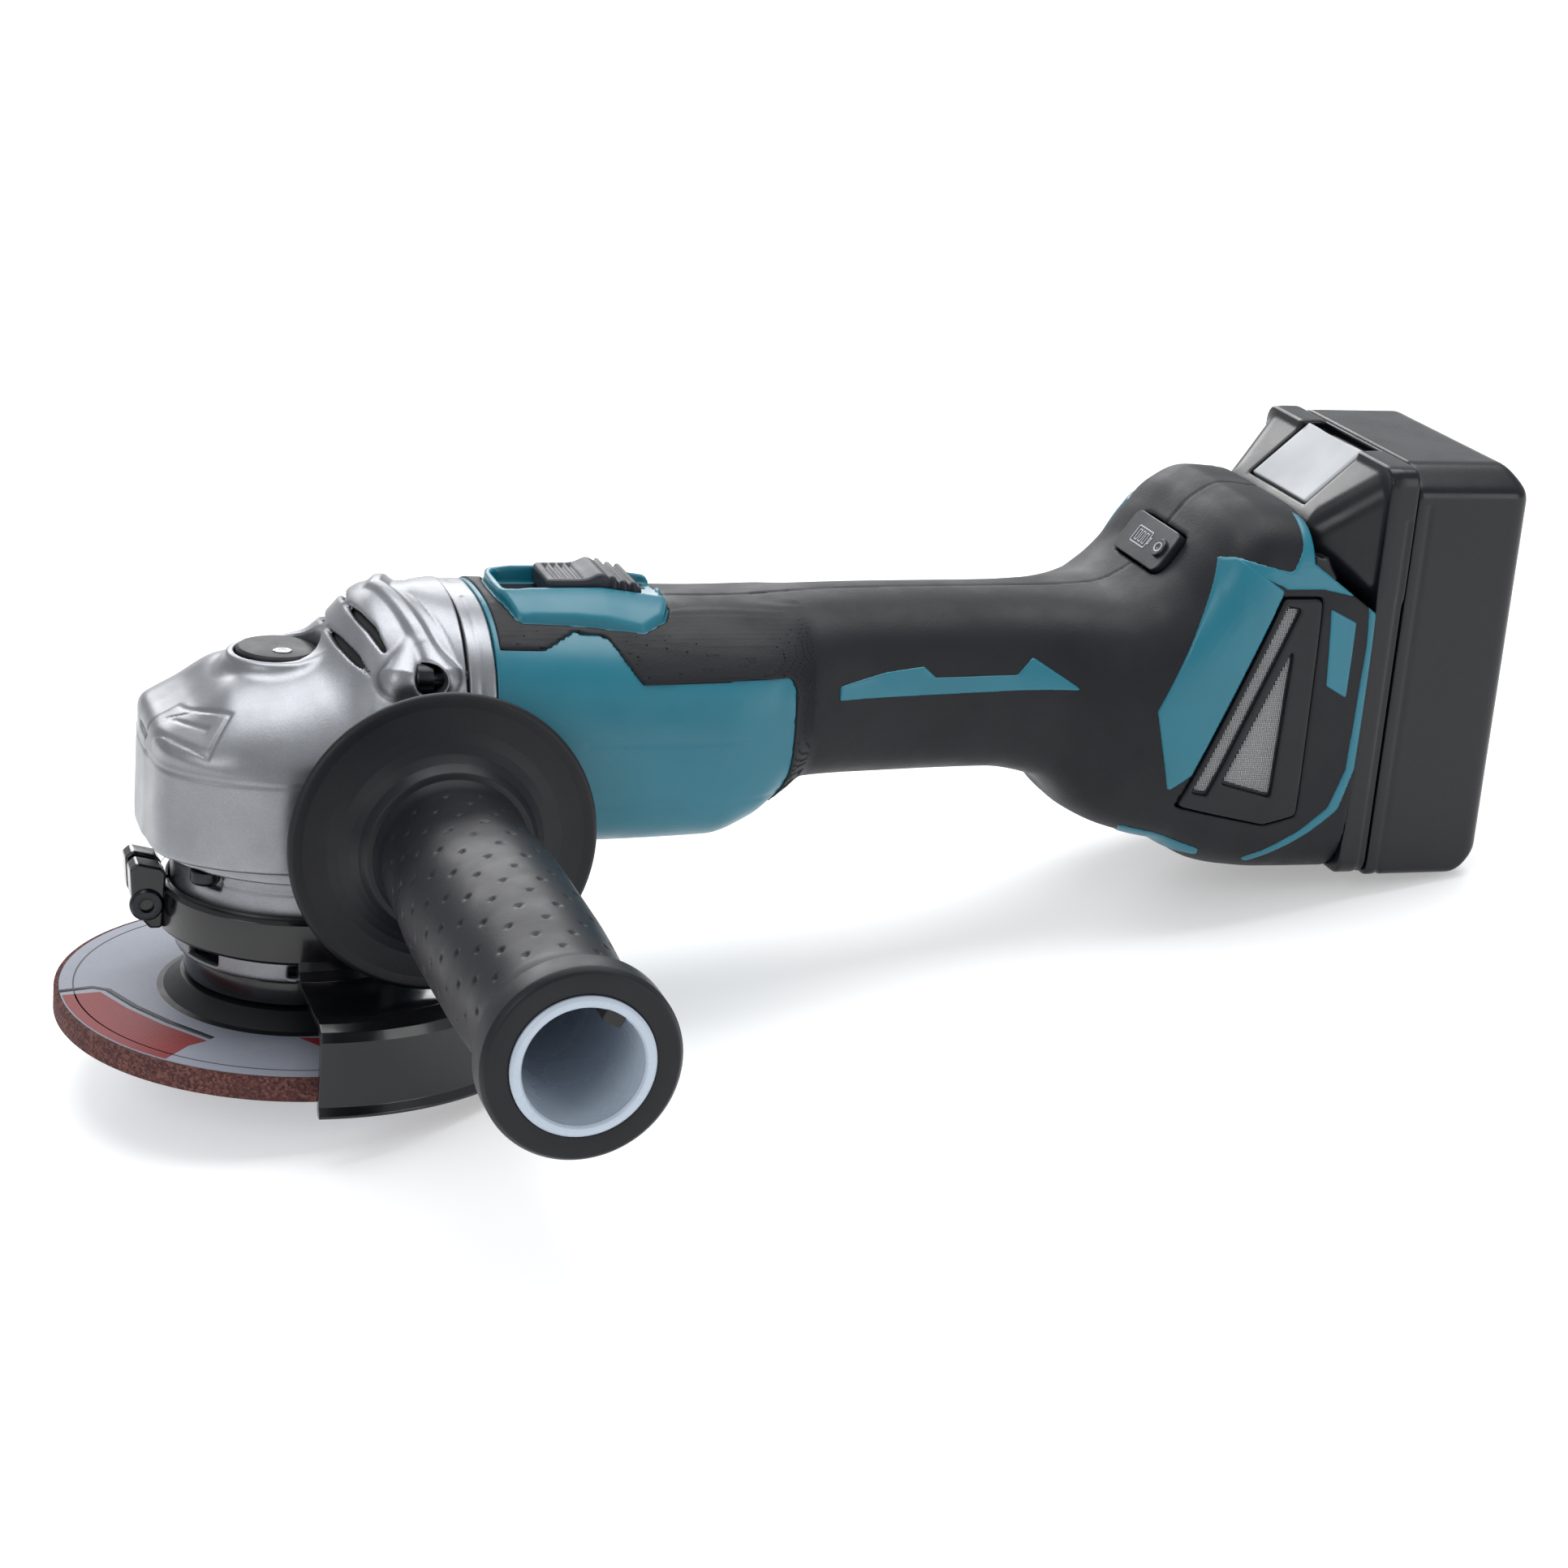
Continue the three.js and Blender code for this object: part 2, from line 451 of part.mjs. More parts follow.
// The same outline drawn inwards by d towards its middle.
function inset(points, d) {
  const middle = points.reduce((m, p) => [m[0] + p[0] / points.length, m[1] + p[1] / points.length], [0, 0]);
  return points.map(([a, b]) => {
    const far = Math.hypot(a - middle[0], b - middle[1]);
    return [a - (a - middle[0]) * d / far, b - (b - middle[1]) * d / far];
  });
}

// A piece on the sloping front of the foot, where the battery gauge sits.
const PANEL = { x: 219.1, z: 118.4, tilt: -55.5 * Math.PI / 180 };
function onPanel(geometry, lift, across = 0) {
  return solid(geometry.translate(0, across, lift).rotateY(PANEL.tilt).translate(PANEL.x, 0, PANEL.z));
}

function sideScrew(index) {
  const [x, z, y] = SIDE_SCREWS[index];
  const body = cut(join(rodY(3.1, y + 0.1, y + 2.3, x, z, 12), rodY(1.5, -12, y + 0.5, x, z, 8)),
    rodY(1.2, y + 1.2, y + 4, x, z, 6));
  return part(`housing_screw_${index + 1}`, DARK_STEEL, body);
}

// Cover with a slanting slit and a three-cornered window, both backed by a thin wall.
function ventCover(side) {
  const at = (y0, y1) => (side < 0 ? [-y1, -y0] : [y0, y1]);
  const slit = [[220.6, 65.6], [224.6, 65.6], [242.4, 111.6], [238.6, 111.6]];
  const window = [[227.4, 66.8], [240.4, 62.8], [242, 102.4]];
  return part(side < 0 ? 'vent_cover_left' : 'vent_cover_right', BLACK, cut(
    prismY(inset(VENT, 0.5), ...at(36.2, 39.2)), prismY(slit, ...at(37.6, 45)), prismY(window, ...at(37.6, 45))));
}

const indicatorPanel = () => part('indicator_panel', BLACK, cut(
  onPanel(new THREE.BoxGeometry(12.2, 27.8, 2.6), 1.4), onPanel(new THREE.CylinderGeometry(2.9, 2.9, 4, 16)
    .rotateX(Math.PI / 2), 3.2, -9)));
const checkButton = () => part('check_button', BLACK,
  onPanel(new THREE.CylinderGeometry(2.6, 2.6, 1.5, 16).rotateX(Math.PI / 2), 2.75, -9));

// ---- switch and electronics ---------------------------------------------------------------------
function switchKnob() {
  const body = join(prismZ(roundedRect(57, 81, -8.2, 8.2, 3), 108.5, 113.2), box(63.5, 73.5, -3, 3, 102.3, 109));
  const grooves = [0, 1, 2, 3, 4].map((i) => box(60.4 + i * 3.6, 61.6 + i * 3.6, -9, 9, 112.3, 118));
  return part('slide_switch_knob', BLACK, cut(body, ...grooves));
}

const switchRod = () => part('switch_rod', BLACK, join(box(60, 112, -4, 4, 100.9, 101.9),
  box(108.5, 112, -4, 4, 98.4, 101.6), box(110, 122, -3, 3, 98.4, 101)));
const switchUnit = () => part('switch_unit', BLACK, join(box(123, 150, -9, 9, 87, 102),
  box(150, 156, -6, 6, 90, 98)));
const controllerBoard = () => part('controller_board', BOARD, join(box(204, 240, -24, 24, 60, 61.6),
  box(209, 235, -17, 17, 61.4, 69)));
const terminalBlock = () => part('terminal_block', BLACK, join(box(243.9, 255.3, -14, 14, 50, 70),
  box(251.2, 252.4, -10, -4, 69, 86), box(251.2, 252.4, 4, 10, 69, 86)));

// ---- battery ------------------------------------------------------------------------------------
const PACK = { front: 264.8, split: 272.4, rear: 305, low: 39.6, high: 148.2, half: 37.5 };
const cavity = () => box(266.5, 303.5, -34.8, 34.8, 43.6, 138.2);
const block = (x0, x1) => prismX(roundedRect(-PACK.half, PACK.half, PACK.low, PACK.high, 5), x0, x1);

function batteryFront() {
  const head = prismY([[247.2, 129.5], [247.2, 124.2], [264.9, 112], [PACK.split, 112],
    [PACK.split, PACK.high], [267.5, PACK.high]], -PACK.half, PACK.half);
  const plan = prismZ([[247.2, -27], [254, -30], [268, -37.4], [PACK.split, -37.5], [PACK.split, 37.5],
    [268, 37.4], [254, 30], [247.2, 27]], 100, 160);
  const tongue = [box(250.3, 257.5, -29.2, 29.2, 45.2, 124), box(257.3, 265, -26, 26, 45.2, 116)];
  const body = join(block(PACK.front, PACK.split), head.intersect(plan), ...tongue.map((t) =>
    t.intersect(prismY([[240, 40], [280, 40], [280, 116], [247.2, 124.6], [240, 124.6]], -40, 40))));
  const pocket = prismY([[251.8, 133.2], [253.9, 131.6], [257.7, 131.6], [272, 145.4], [270.8, 152],
    [266.6, 152], [251.8, 136]], -16.6, 16.6);
  return part('battery_case_front', BLACK, cut(body, cavity(), pocket, box(252.6, 259.4, -12.4, 12.4, 113.6, 134),
    box(240, 253, -12.4, 12.4, 113.6, 118.6), box(249, 256, -15, 15, 40, 96)));
}

function batteryRear() {
  const side = prismY([[PACK.split + 0.3, 30], [299, 30], [299, PACK.low], [PACK.rear, PACK.low + 8],
    [PACK.rear, PACK.high - 7], [300, PACK.high - 0.6], [300, 160], [PACK.split + 0.3, 160]], -40, 40);
  const plan = prismZ([[270, -37.5], [301, -37.5], [PACK.rear, -34], [PACK.rear, 34], [301, 37.5],
    [270, 37.5]], 30, 160);
  return part('battery_case_rear', BLACK, cut(
    block(PACK.split + 0.3, PACK.rear).intersect(side).intersect(plan), cavity()));
}

const batteryLatch = () => part('battery_latch_button', SILVER, join(
  prismY([[252.3, 134.2], [254.1, 132.3], [268.6, 145.6], [266.8, 147.5]], -16.2, 16.2),
  box(253.4, 256, -12, 12, 114, 134.4), box(247.6, 254, -12, 12, 114, 118)));

function cell(index) {
  const can = part(`battery_cell_${index + 1}`, CELL, new THREE.CylinderGeometry(CELL_R, CELL_R, CELL_L, 16));
  can.position.set(index < 5 ? 275.85 : 294.15, 0, 53.5 + (index % 5) * 18.7);
  return can;
}

// ---- side handle --------------------------------------------------------------------------------
// Profiles are [radius, distance from the gear case] and the group below turns them to -Y.
const handleGrip = () => part('side_handle_grip', RUBBER, turned([[15, 1.4], [24, 0.6], [36, 1.6], [36.9, 3],
  [36, 4.4], [27, 4.8], [20.6, 8.4], [17.5, 16], [19.2, 50], [19, 84], [17.6, 114], [18.4, 122],
  [21, 126.5], [21.2, 134], [20.2, 135], [15, 135]], 28));
const handleCore = () => part('side_handle_core', WHITE, turned([[4.2, 0.4], [14.8, 0.4], [14.8, 135.4],
  [13, 135.4], [13, 24], [4.2, 24]], 28));
const handleStud = () => part('side_handle_stud', STEEL, turned([[0, -17], [3.2, -17], [3.9, -16.2],
  [3.9, 23], [0, 23]], 12));

// ---- assembly -----------------------------------------------------------------------------------
const each = (count, make) => Array.from({ length: count }, (_, i) => make(i));
const gather = (...parts) => {
  const set = new THREE.Group();
  set.add(...parts);
  return set;
};

const head = gather(gearCase(), flangeRing(), bearingBox(), ...each(4, caseScrew), ...each(4, boxScrew),
  ballBearing('spindle_bearing_lower', 6.1, 15.95, 36.1, 46),
  ballBearing('spindle_bearing_upper', 3.56, 6, 78.6, 85.2),
  lockButton(), lockPin(), lockSpring());
const drive = gather(spindle(), bevelGear(), innerFlange(), grindingWheel(), lockNut());
const guard = gather(wheelGuard(), clampScrew());
const motor = gather(stator(), rotorShaft(), rotorCore(), fan(), pinion(),
  rotorBearing('rotor_bearing_front', 11, 25, 32), rotorBearing('rotor_bearing_rear', 9, 92.5, 98.5));
const body = gather(housing(-1), housing(1), ...each(3, sideScrew), ventCover(-1), ventCover(1),
  indicatorPanel(), checkButton(), switchKnob(), switchRod(), switchUnit(), controllerBoard(),
  terminalBlock());
const battery = gather(batteryFront(), batteryRear(), batteryLatch(), ...each(10, cell));
const handle = gather(handleGrip(), handleCore(), handleStud());
handle.position.set(HANDLE_X, HANDLE_Y, HANDLE_Z);
handle.rotation.x = Math.PI / 2;

const group = gather(head, drive, guard, motor, body, battery, handle);
export default group;
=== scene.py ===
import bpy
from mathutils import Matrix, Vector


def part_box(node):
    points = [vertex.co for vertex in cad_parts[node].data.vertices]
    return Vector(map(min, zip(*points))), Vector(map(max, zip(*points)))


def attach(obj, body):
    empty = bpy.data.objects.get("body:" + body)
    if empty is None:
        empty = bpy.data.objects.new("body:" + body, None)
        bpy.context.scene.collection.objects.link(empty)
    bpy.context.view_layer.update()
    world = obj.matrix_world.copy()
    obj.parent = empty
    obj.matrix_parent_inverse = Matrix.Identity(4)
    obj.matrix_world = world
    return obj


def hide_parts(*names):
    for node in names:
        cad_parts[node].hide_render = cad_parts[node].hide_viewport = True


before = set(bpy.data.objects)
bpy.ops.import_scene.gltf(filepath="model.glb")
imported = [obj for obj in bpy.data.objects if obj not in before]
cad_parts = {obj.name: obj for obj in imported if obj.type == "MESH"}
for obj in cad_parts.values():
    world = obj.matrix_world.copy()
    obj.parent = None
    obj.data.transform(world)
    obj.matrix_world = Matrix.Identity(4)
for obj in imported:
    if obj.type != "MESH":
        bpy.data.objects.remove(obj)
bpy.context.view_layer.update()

import math

import bmesh
import bpy
import numpy as np
from mathutils import Matrix, Vector
from numpy import maximum, minimum

MM = 0.001
SCENE = bpy.context.scene
rad = math.radians


def spot(node):
    """Lowest and highest corner of a CAD node, in millimetres."""
    lo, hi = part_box(node)
    return np.array(lo) * 1000, np.array(hi) * 1000


# ---- shader building ----
class Look:
    """One Principled material and short ways to wire its textures."""

    def __init__(self, name, rough=0.4, metal=0.0, **sockets):
        self.mat = bpy.data.materials.new(name)
        self.mat.use_nodes = True
        self.nt = self.mat.node_tree
        self.bsdf = self.nt.nodes["Principled BSDF"]
        self.place = self.nt.nodes.new("ShaderNodeTexCoord").outputs["Object"]
        self.bsdf.inputs["Roughness"].default_value = rough
        self.bsdf.inputs["Metallic"].default_value = metal
        for key, value in sockets.items():
            self.bsdf.inputs[key.replace("_", " ")].default_value = value
        self.height = None

    def node(self, kind, **values):
        n = self.nt.nodes.new(kind)
        for key, value in values.items():
            if key in n.inputs:
                n.inputs[key].default_value = value
            else:
                setattr(n, key, value)
        return n

    def wire(self, out, into):
        self.nt.links.new(out, into)

    def noise(self, scale, detail=3.0, rough=0.55, stretch=None):
        n = self.node("ShaderNodeTexNoise", Scale=scale, Detail=detail, Roughness=rough)
        at = self.place
        if stretch:
            m = self.node("ShaderNodeMapping")
            m.inputs["Scale"].default_value = stretch
            self.wire(at, m.inputs["Vector"])
            at = m.outputs["Vector"]
        self.wire(at, n.inputs["Vector"])
        return n.outputs["Fac"]

    def cells(self, scale):
        n = self.node("ShaderNodeTexVoronoi", Scale=scale)
        self.wire(self.place, n.inputs["Vector"])
        return n

    def axes(self):
        n = self.node("ShaderNodeSeparateXYZ")
        self.wire(self.place, n.inputs[0])
        return n.outputs

    def ramp(self, value, stops):
        r = self.node("ShaderNodeValToRGB")
        e = r.color_ramp.elements
        while len(e) < len(stops):
            e.new(0.5)
        for item, (at, colour) in zip(e, stops):
            item.position = at
            item.color = (*colour, 1) if isinstance(colour, tuple) else (colour,) * 3 + (1,)
        self.wire(value, r.inputs["Fac"])
        return r.outputs["Color"]

    def math(self, op, a, b=0.0, clamp=False):
        n = self.node("ShaderNodeMath", operation=op, use_clamp=clamp)
        for i, v in enumerate((a, b)):
            if hasattr(v, "links"):
                self.wire(v, n.inputs[i])
            else:
                n.inputs[i].default_value = v
        return n.outputs[0]

    def blend(self, share, a, b):
        n = self.node("ShaderNodeMix", data_type="RGBA")
        self.wire(share, n.inputs["Factor"])
        for socket, v in ((n.inputs[6], a), (n.inputs[7], b)):
            if hasattr(v, "links"):
                self.wire(v, socket)
            else:
                socket.default_value = (*v, 1)
        return n.outputs[2]

    def colour(self, c):
        if hasattr(c, "links"):
            self.wire(c, self.bsdf.inputs["Base Color"])
        else:
            self.bsdf.inputs["Base Color"].default_value = (*c, 1)
        return self

    def rough(self, value, low, high):
        m = self.node("ShaderNodeMapRange")
        self.wire(value, m.inputs["Value"])
        m.inputs["From Min"].default_value, m.inputs["From Max"].default_value = 0.3, 0.7
        m.inputs["To Min"].default_value, m.inputs["To Max"].default_value = low, high
        self.wire(m.outputs["Result"], self.bsdf.inputs["Roughness"])
        return self

    def bump(self, value, distance, strength=1.0):
        """Adds a relief of this depth, in millimetres, over those already there."""
        b = self.node("ShaderNodeBump", Strength=strength, Distance=distance * MM)
        self.wire(value, b.inputs["Height"])
        if self.height:
            self.wire(self.height, b.inputs["Normal"])
        self.height = b.outputs["Normal"]
        self.wire(self.height, self.bsdf.inputs["Normal"])
        return self


def srgb(r, g, b):
    return tuple(((c / 255 + 0.055) / 1.055) ** 2.4 if c > 10 else c / 255 / 12.92 for c in (r, g, b))


def tinted(look, colour, scale=45, spread=0.1, detail=4):
    """Base colour with a faint, slow variation."""
    dark = tuple(c * (1 - spread) for c in colour)
    light = tuple(min(1, c * (1 + spread)) for c in colour)
    return look.colour(look.ramp(look.noise(scale, detail), [(0.3, dark), (0.7, light)]))


def moulded(name, colour, rough, grain=0.02, grain_scale=2400, spread=0.07, shine=0.5):
    """Moulded plastic or rubber with an eroded, fine-grained skin and a few dull rubbed patches."""
    k = Look(name, rough, Specular_IOR_Level=shine)
    tinted(k, colour, 60, spread)
    k.rough(k.noise(70, 5), rough - 0.07, rough + 0.08)
    k.bump(k.noise(grain_scale, 2, 0.6), grain)
    k.bump(k.noise(230, 3), grain * 1.1, 0.5)
    return k.mat


def cast_alloy():
    k = Look("satin_cast_alloy", 0.34, 0.86, Specular_IOR_Level=0.5)
    speck = k.noise(3600, 2, 0.7)
    base = k.ramp(k.noise(55, 4), [(0.3, srgb(132, 134, 138)), (0.7, srgb(148, 150, 154))])
    k.colour(k.blend(k.ramp(speck, [(0.35, 0.0), (0.7, 0.5)]), base, srgb(112, 114, 119)))
    k.rough(k.noise(90, 5), 0.3, 0.42)
    k.bump(speck, 0.035)
    k.bump(k.noise(420, 3), 0.035, 0.7)
    return k.mat


def bare_steel(name="turned_steel", colour=(0.52, 0.52, 0.53), rough=0.28, rings=True):
    k = Look(name, rough, 1.0)
    tinted(k, colour, 120, 0.08)
    k.rough(k.noise(900, 3, stretch=(0.2, 0.2, 6)), rough - 0.06, rough + 0.12)
    k.bump(k.noise(1500, 2, stretch=(0.1, 0.1, 5) if rings else None), 0.01)
    return k.mat


def lacquer():
    """Gloss black coat on pressed steel, faintly rippled."""
    k = Look("gloss_black_steel", 0.2, 0.0, Specular_IOR_Level=0.4, Coat_Weight=0.25, Coat_Roughness=0.08)
    tinted(k, srgb(13, 14, 17), 40, 0.12)
    k.rough(k.noise(160, 5), 0.13, 0.26)
    k.bump(k.noise(260, 2), 0.02, 0.6)
    k.bump(k.noise(1500, 2), 0.003)
    return k.mat


def abrasive():
    k = Look("brown_abrasive_grit", 0.85, Specular_IOR_Level=0.35)
    grit = k.cells(1500)
    tone = k.ramp(grit.outputs["Color"], [(0.15, srgb(48, 26, 26)), (0.5, srgb(92, 52, 48)),
        (0.8, srgb(132, 86, 78))])
    k.colour(k.blend(k.noise(300, 3), tone, srgb(70, 40, 40)))
    k.bump(grit.outputs["Distance"], 0.35)
    k.bump(k.noise(2600, 3), 0.15)
    return k.mat


def label_paper(name, colour):
    """Printed paper bonded on the disc's glass cloth, whose weave shows through."""
    k = Look(name, 0.6, Specular_IOR_Level=0.35)
    speck = k.ramp(k.noise(1800, 2), [(0.62, 0.0), (0.72, 0.4)])
    k.colour(k.blend(speck, k.ramp(k.noise(75, 5), [(0.3, tuple(c * 0.9 for c in colour)), (0.7, colour)]),
        tuple(c * 0.55 for c in colour)))
    at = k.axes()
    warp, weft = (k.math("SINE", k.math("MULTIPLY", at[axis], 4200)) for axis in "XY")
    k.bump(k.math("MULTIPLY", warp, weft), 0.03, 0.8)
    return k.mat


def wire_cloth():
    """Woven stainless cloth, seen from the side of the tool."""
    k = Look("woven_vent_mesh", 0.38, 0.75)
    at = k.axes()
    weave = k.math("MULTIPLY", *(k.math("SINE", k.math("MULTIPLY", k.math(op, at["X"], at["Z"]), 6200))
        for op in ("ADD", "SUBTRACT")))
    k.colour(k.ramp(k.math("MULTIPLY_ADD", weave, 0.5), [(0.0, srgb(96, 96, 98)),
        (0.6, srgb(168, 168, 169))]))
    k.bump(weave, 0.16)
    return k.mat


TEAL = moulded("teal_nylon", srgb(12, 101, 119), 0.34, 0.012, 2600, 0.05)
RUBBER = moulded("black_overmould", srgb(19, 20, 25), 0.5, 0.05, 1500, 0.1, 0.26)
GRIP = moulded("handle_rubber", srgb(18, 19, 24), 0.42, 0.025, 1800, 0.08, 0.28)
DARK = moulded("dark_nylon", srgb(19, 20, 25), 0.46, 0.02, 2200, 0.08, 0.3)
KNOB = moulded("knob_nylon", srgb(36, 38, 46), 0.42, 0.02, 2200, 0.08, 0.32)
PACK = moulded("battery_nylon", srgb(14, 15, 20), 0.26, 0.012, 2600, 0.08, 0.36)
CORE = moulded("white_core_nylon", srgb(176, 187, 200), 0.26, 0.008, 2000, 0.03)
LATCH = moulded("pale_latch_nylon", srgb(142, 146, 151), 0.36, 0.012, 2600, 0.03)
INK = moulded("pale_print", srgb(176, 180, 188), 0.5, 0.004, 2600, 0.03)
PANEL = moulded("gauge_panel", srgb(26, 27, 32), 0.38, 0.03, 1700, 0.05)
CAST = cast_alloy()
STEEL = bare_steel()
DARKSTEEL = bare_steel("blackened_steel", (0.035, 0.036, 0.04), 0.3)
GLOSS = lacquer()
GRIT = abrasive()
PAPER = label_paper("grey_disc_label", srgb(140, 144, 156))
RED = label_paper("red_disc_panel", srgb(128, 40, 42))
CHARCOAL = label_paper("charcoal_disc_line", srgb(66, 66, 72))
MESH = wire_cloth()
COPPER = bare_steel("enamelled_copper", (0.62, 0.25, 0.11), 0.34)
CELLWRAP = moulded("cell_wrap", srgb(40, 96, 128), 0.35)
BOARD = moulded("circuit_board", srgb(24, 74, 42), 0.45)
# painted shade: a near-black material laid where only the shade inside deep slots falls
SHADOW = moulded("painted_recess_shade", srgb(14, 14, 16), 0.6)


# ---- mesh building ----
def piece(name, verts, faces, material, body="housing", normals=None, sharp=40, replaces=()):
    """A mesh in millimetres becomes a piece that rides on a body."""
    me = bpy.data.meshes.new(name)
    me.from_pydata((np.asarray(verts, float) * MM).tolist(), [], [list(f) for f in faces])
    me.update()
    o = bpy.data.objects.new(name, me)
    SCENE.collection.objects.link(o)
    me.materials.append(material)
    me.shade_smooth()
    if normals is not None:
        me.normals_split_custom_set_from_vertices(np.asarray(normals, float).tolist())
    elif sharp:
        me.set_sharp_from_angle(angle=rad(sharp))
    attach(o, body)
    if replaces:
        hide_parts(*replaces)
    return o


def softened(o, width, segments=3, angle=32):
    """Rounds the hard edges of a piece."""
    m = o.modifiers.new("round", "BEVEL")
    m.width = width * MM
    m.segments = segments
    m.limit_method = "ANGLE"
    m.angle_limit = rad(angle)
    m.harden_normals = False
    w = o.modifiers.new("normals", "WEIGHTED_NORMAL")
    w.keep_sharp = False
    return o


def thickened(o, thickness, way):
    s = o.modifiers.new("thick", "SOLIDIFY")
    s.thickness = thickness * MM
    s.offset = way


def filleted(profile, radius, steps=4, closed=True):
    """A polyline with its corners turned into short arcs."""
    pts = [np.array(p, float) for p in profile]
    out = []
    n = len(pts)
    for i, p in enumerate(pts):
        if not closed and i in (0, n - 1):
            out.append(p)
            continue
        a, b = pts[i - 1] - p, pts[(i + 1) % n] - p
        la, lb = np.linalg.norm(a), np.linalg.norm(b)
        cosine = float(np.clip(a @ b / (la * lb), -1, 1))
        if cosine < -0.995:
            out.append(p)
            continue
        half = math.acos(cosine) / 2
        cut = min(radius / math.tan(half), la * 0.45, lb * 0.45)
        s, e = p + a / la * cut, p + b / lb * cut
        for k in range(steps + 1):
            t = k / steps
            out.append((1 - t) ** 2 * s + 2 * t * (1 - t) * p + t * t * e)
    return out


def lathe(profile, n=96, fillet=0.4, closed=True, steps=3):
    """(verts, faces) of a closed [radius, height] profile turned about Z."""
    pts = filleted(profile, fillet, steps, closed) if fillet else [np.array(p, float) for p in profile]
    m = len(pts)
    t = np.arange(n) / n * 2 * math.pi
    verts = [(max(r, 0.002) * math.cos(a), max(r, 0.002) * math.sin(a), z) for a in t for r, z in pts]
    faces = []
    for i in range(n):
        j = (i + 1) % n
        for k in range(m if closed else m - 1):
            l = (k + 1) % m
            faces.append((i * m + k, j * m + k, j * m + l, i * m + l))
    return np.array(verts), faces


def outward(o, change=None):
    """Turns every face outwards, after a change to the mesh if one is given."""
    bm = bmesh.new()
    bm.from_mesh(o.data)
    if change:
        change(bm)
    bmesh.ops.recalc_face_normals(bm, faces=bm.faces)
    bm.to_mesh(o.data)
    bm.free()
    return o


def turned(name, profile, material, body="housing", n=96, fillet=0.4, replaces=(), place=None, sharp=40):
    v, f = lathe(profile, n, fillet)
    if place is not None:
        v = place(v)
    return outward(piece(name, v, f, material, body, sharp=sharp, replaces=replaces))


def prism(name, outline, lo, hi, axis, material, body="housing", bevel=0.4, place=None, replaces=(),
        fillet=0):
    """An outline pushed from lo to hi along an axis: XY for z, XZ for y, YZ for x."""
    pts = filleted(outline, fillet, 5) if fillet else [np.array(p, float) for p in outline]
    order = {"z": lambda a, b, c: (a, b, c), "y": lambda a, b, c: (a, c, b), "x": lambda a, b,
        c: (c, a, b)}[axis]
    n = len(pts)
    v = [order(p[0], p[1], lo) for p in pts] + [order(p[0], p[1], hi) for p in pts]
    f = [tuple(range(n)), tuple(range(2 * n - 1, n - 1, -1))]
    f += [(i, (i + 1) % n, n + (i + 1) % n, n + i) for i in range(n)]
    v = np.array(v, float)
    o = piece(name, place(v) if place is not None else v, f, material, body, sharp=30, replaces=replaces)
    outward(o)
    if bevel:
        softened(o, bevel)
    return o


# Signed distance modelling: negative inside, in millimetres, on a regular grid.
class Grid:
    def __init__(self, lo, hi, step):
        self.lo, self.step = np.array(lo, float), step
        self.shape = tuple(int(math.ceil((h - l) / step)) + 1 for l, h in zip(lo, hi))
        ax = [(l + step * np.arange(n)).astype(np.float32) for l, n in zip(lo, self.shape)]
        self.X, self.Y, self.Z = ax[0][:, None, None], ax[1][None, :, None], ax[2][None, None, :]

    def folded(self):
        """The same grid with both flanks laid over the handle's side."""
        g = Grid.__new__(Grid)
        g.__dict__ = dict(self.__dict__, Y=-np.abs(self.Y))
        return g

    def metric(self, f):
        """f scaled so that it grows by one for each millimetre."""
        f = np.broadcast_to(f, self.shape).astype(np.float32)
        g = np.gradient(f, self.step)
        return f / maximum(np.sqrt(g[0] ** 2 + g[1] ** 2 + g[2] ** 2), 1e-3)


def union(a, b, k=0.01):
    h = np.clip(0.5 + 0.5 * (b - a) / k, 0, 1)
    return b + (a - b) * h - k * h * (1 - h)


def both(a, b, k=0.01):
    return -union(-a, -b, k)


def minus(a, b, k=0.01):
    return both(a, -b, k)


def slab(v, lo, hi):
    return maximum(lo - v, v - hi)


def block(g, x, y, z, r=0.0):
    """A box with its edges rounded by r; give y as a half width, or as two limits."""
    y = (-y, y) if not isinstance(y, tuple) else y
    q = [np.abs(v - (a + b) / 2) - (b - a) / 2 + r for v, (a, b) in ((g.X, x), (g.Y, y), (g.Z, z))]
    out = np.sqrt(sum(maximum(c, 0) ** 2 for c in q))
    return out + minimum(maximum(maximum(q[0], q[1]), q[2]), 0) - r


def outline2(points, a, b):
    """Signed distance to a closed outline in the plane of a and b."""
    pts = np.array(points, np.float32)
    best, inside = None, None
    for p, q in zip(pts, np.roll(pts, -1, 0)):
        e = q - p
        wa, wb = a - p[0], b - p[1]
        t = np.clip((wa * e[0] + wb * e[1]) / (e @ e), 0, 1)
        d = (wa - e[0] * t) ** 2 + (wb - e[1] * t) ** 2
        best = d if best is None else minimum(best, d)
        crossing = ((p[1] <= b) & (b < q[1])) | ((q[1] <= b) & (b < p[1]))
        with np.errstate(divide="ignore", invalid="ignore"):
            where = p[0] + (b - p[1]) / (q[1] - p[1]) * e[0] if q[1] != p[1] else np.full_like(b, 1e9)
        hit = crossing & (a < where)
        inside = hit if inside is None else inside ^ hit
    return np.sqrt(best) * np.where(inside, -1, 1)


def side(g, points, fillet=0, steps=3):
    """Signed distance to an outline in the side view."""
    return outline2(filleted(points, fillet, steps) if fillet else points, g.X, g.Z + 0 * g.X)


def ridge(v, width, power=2):
    """A smooth bump of height 1 along the line where v is zero."""
    return np.exp(-(v / width) ** power)


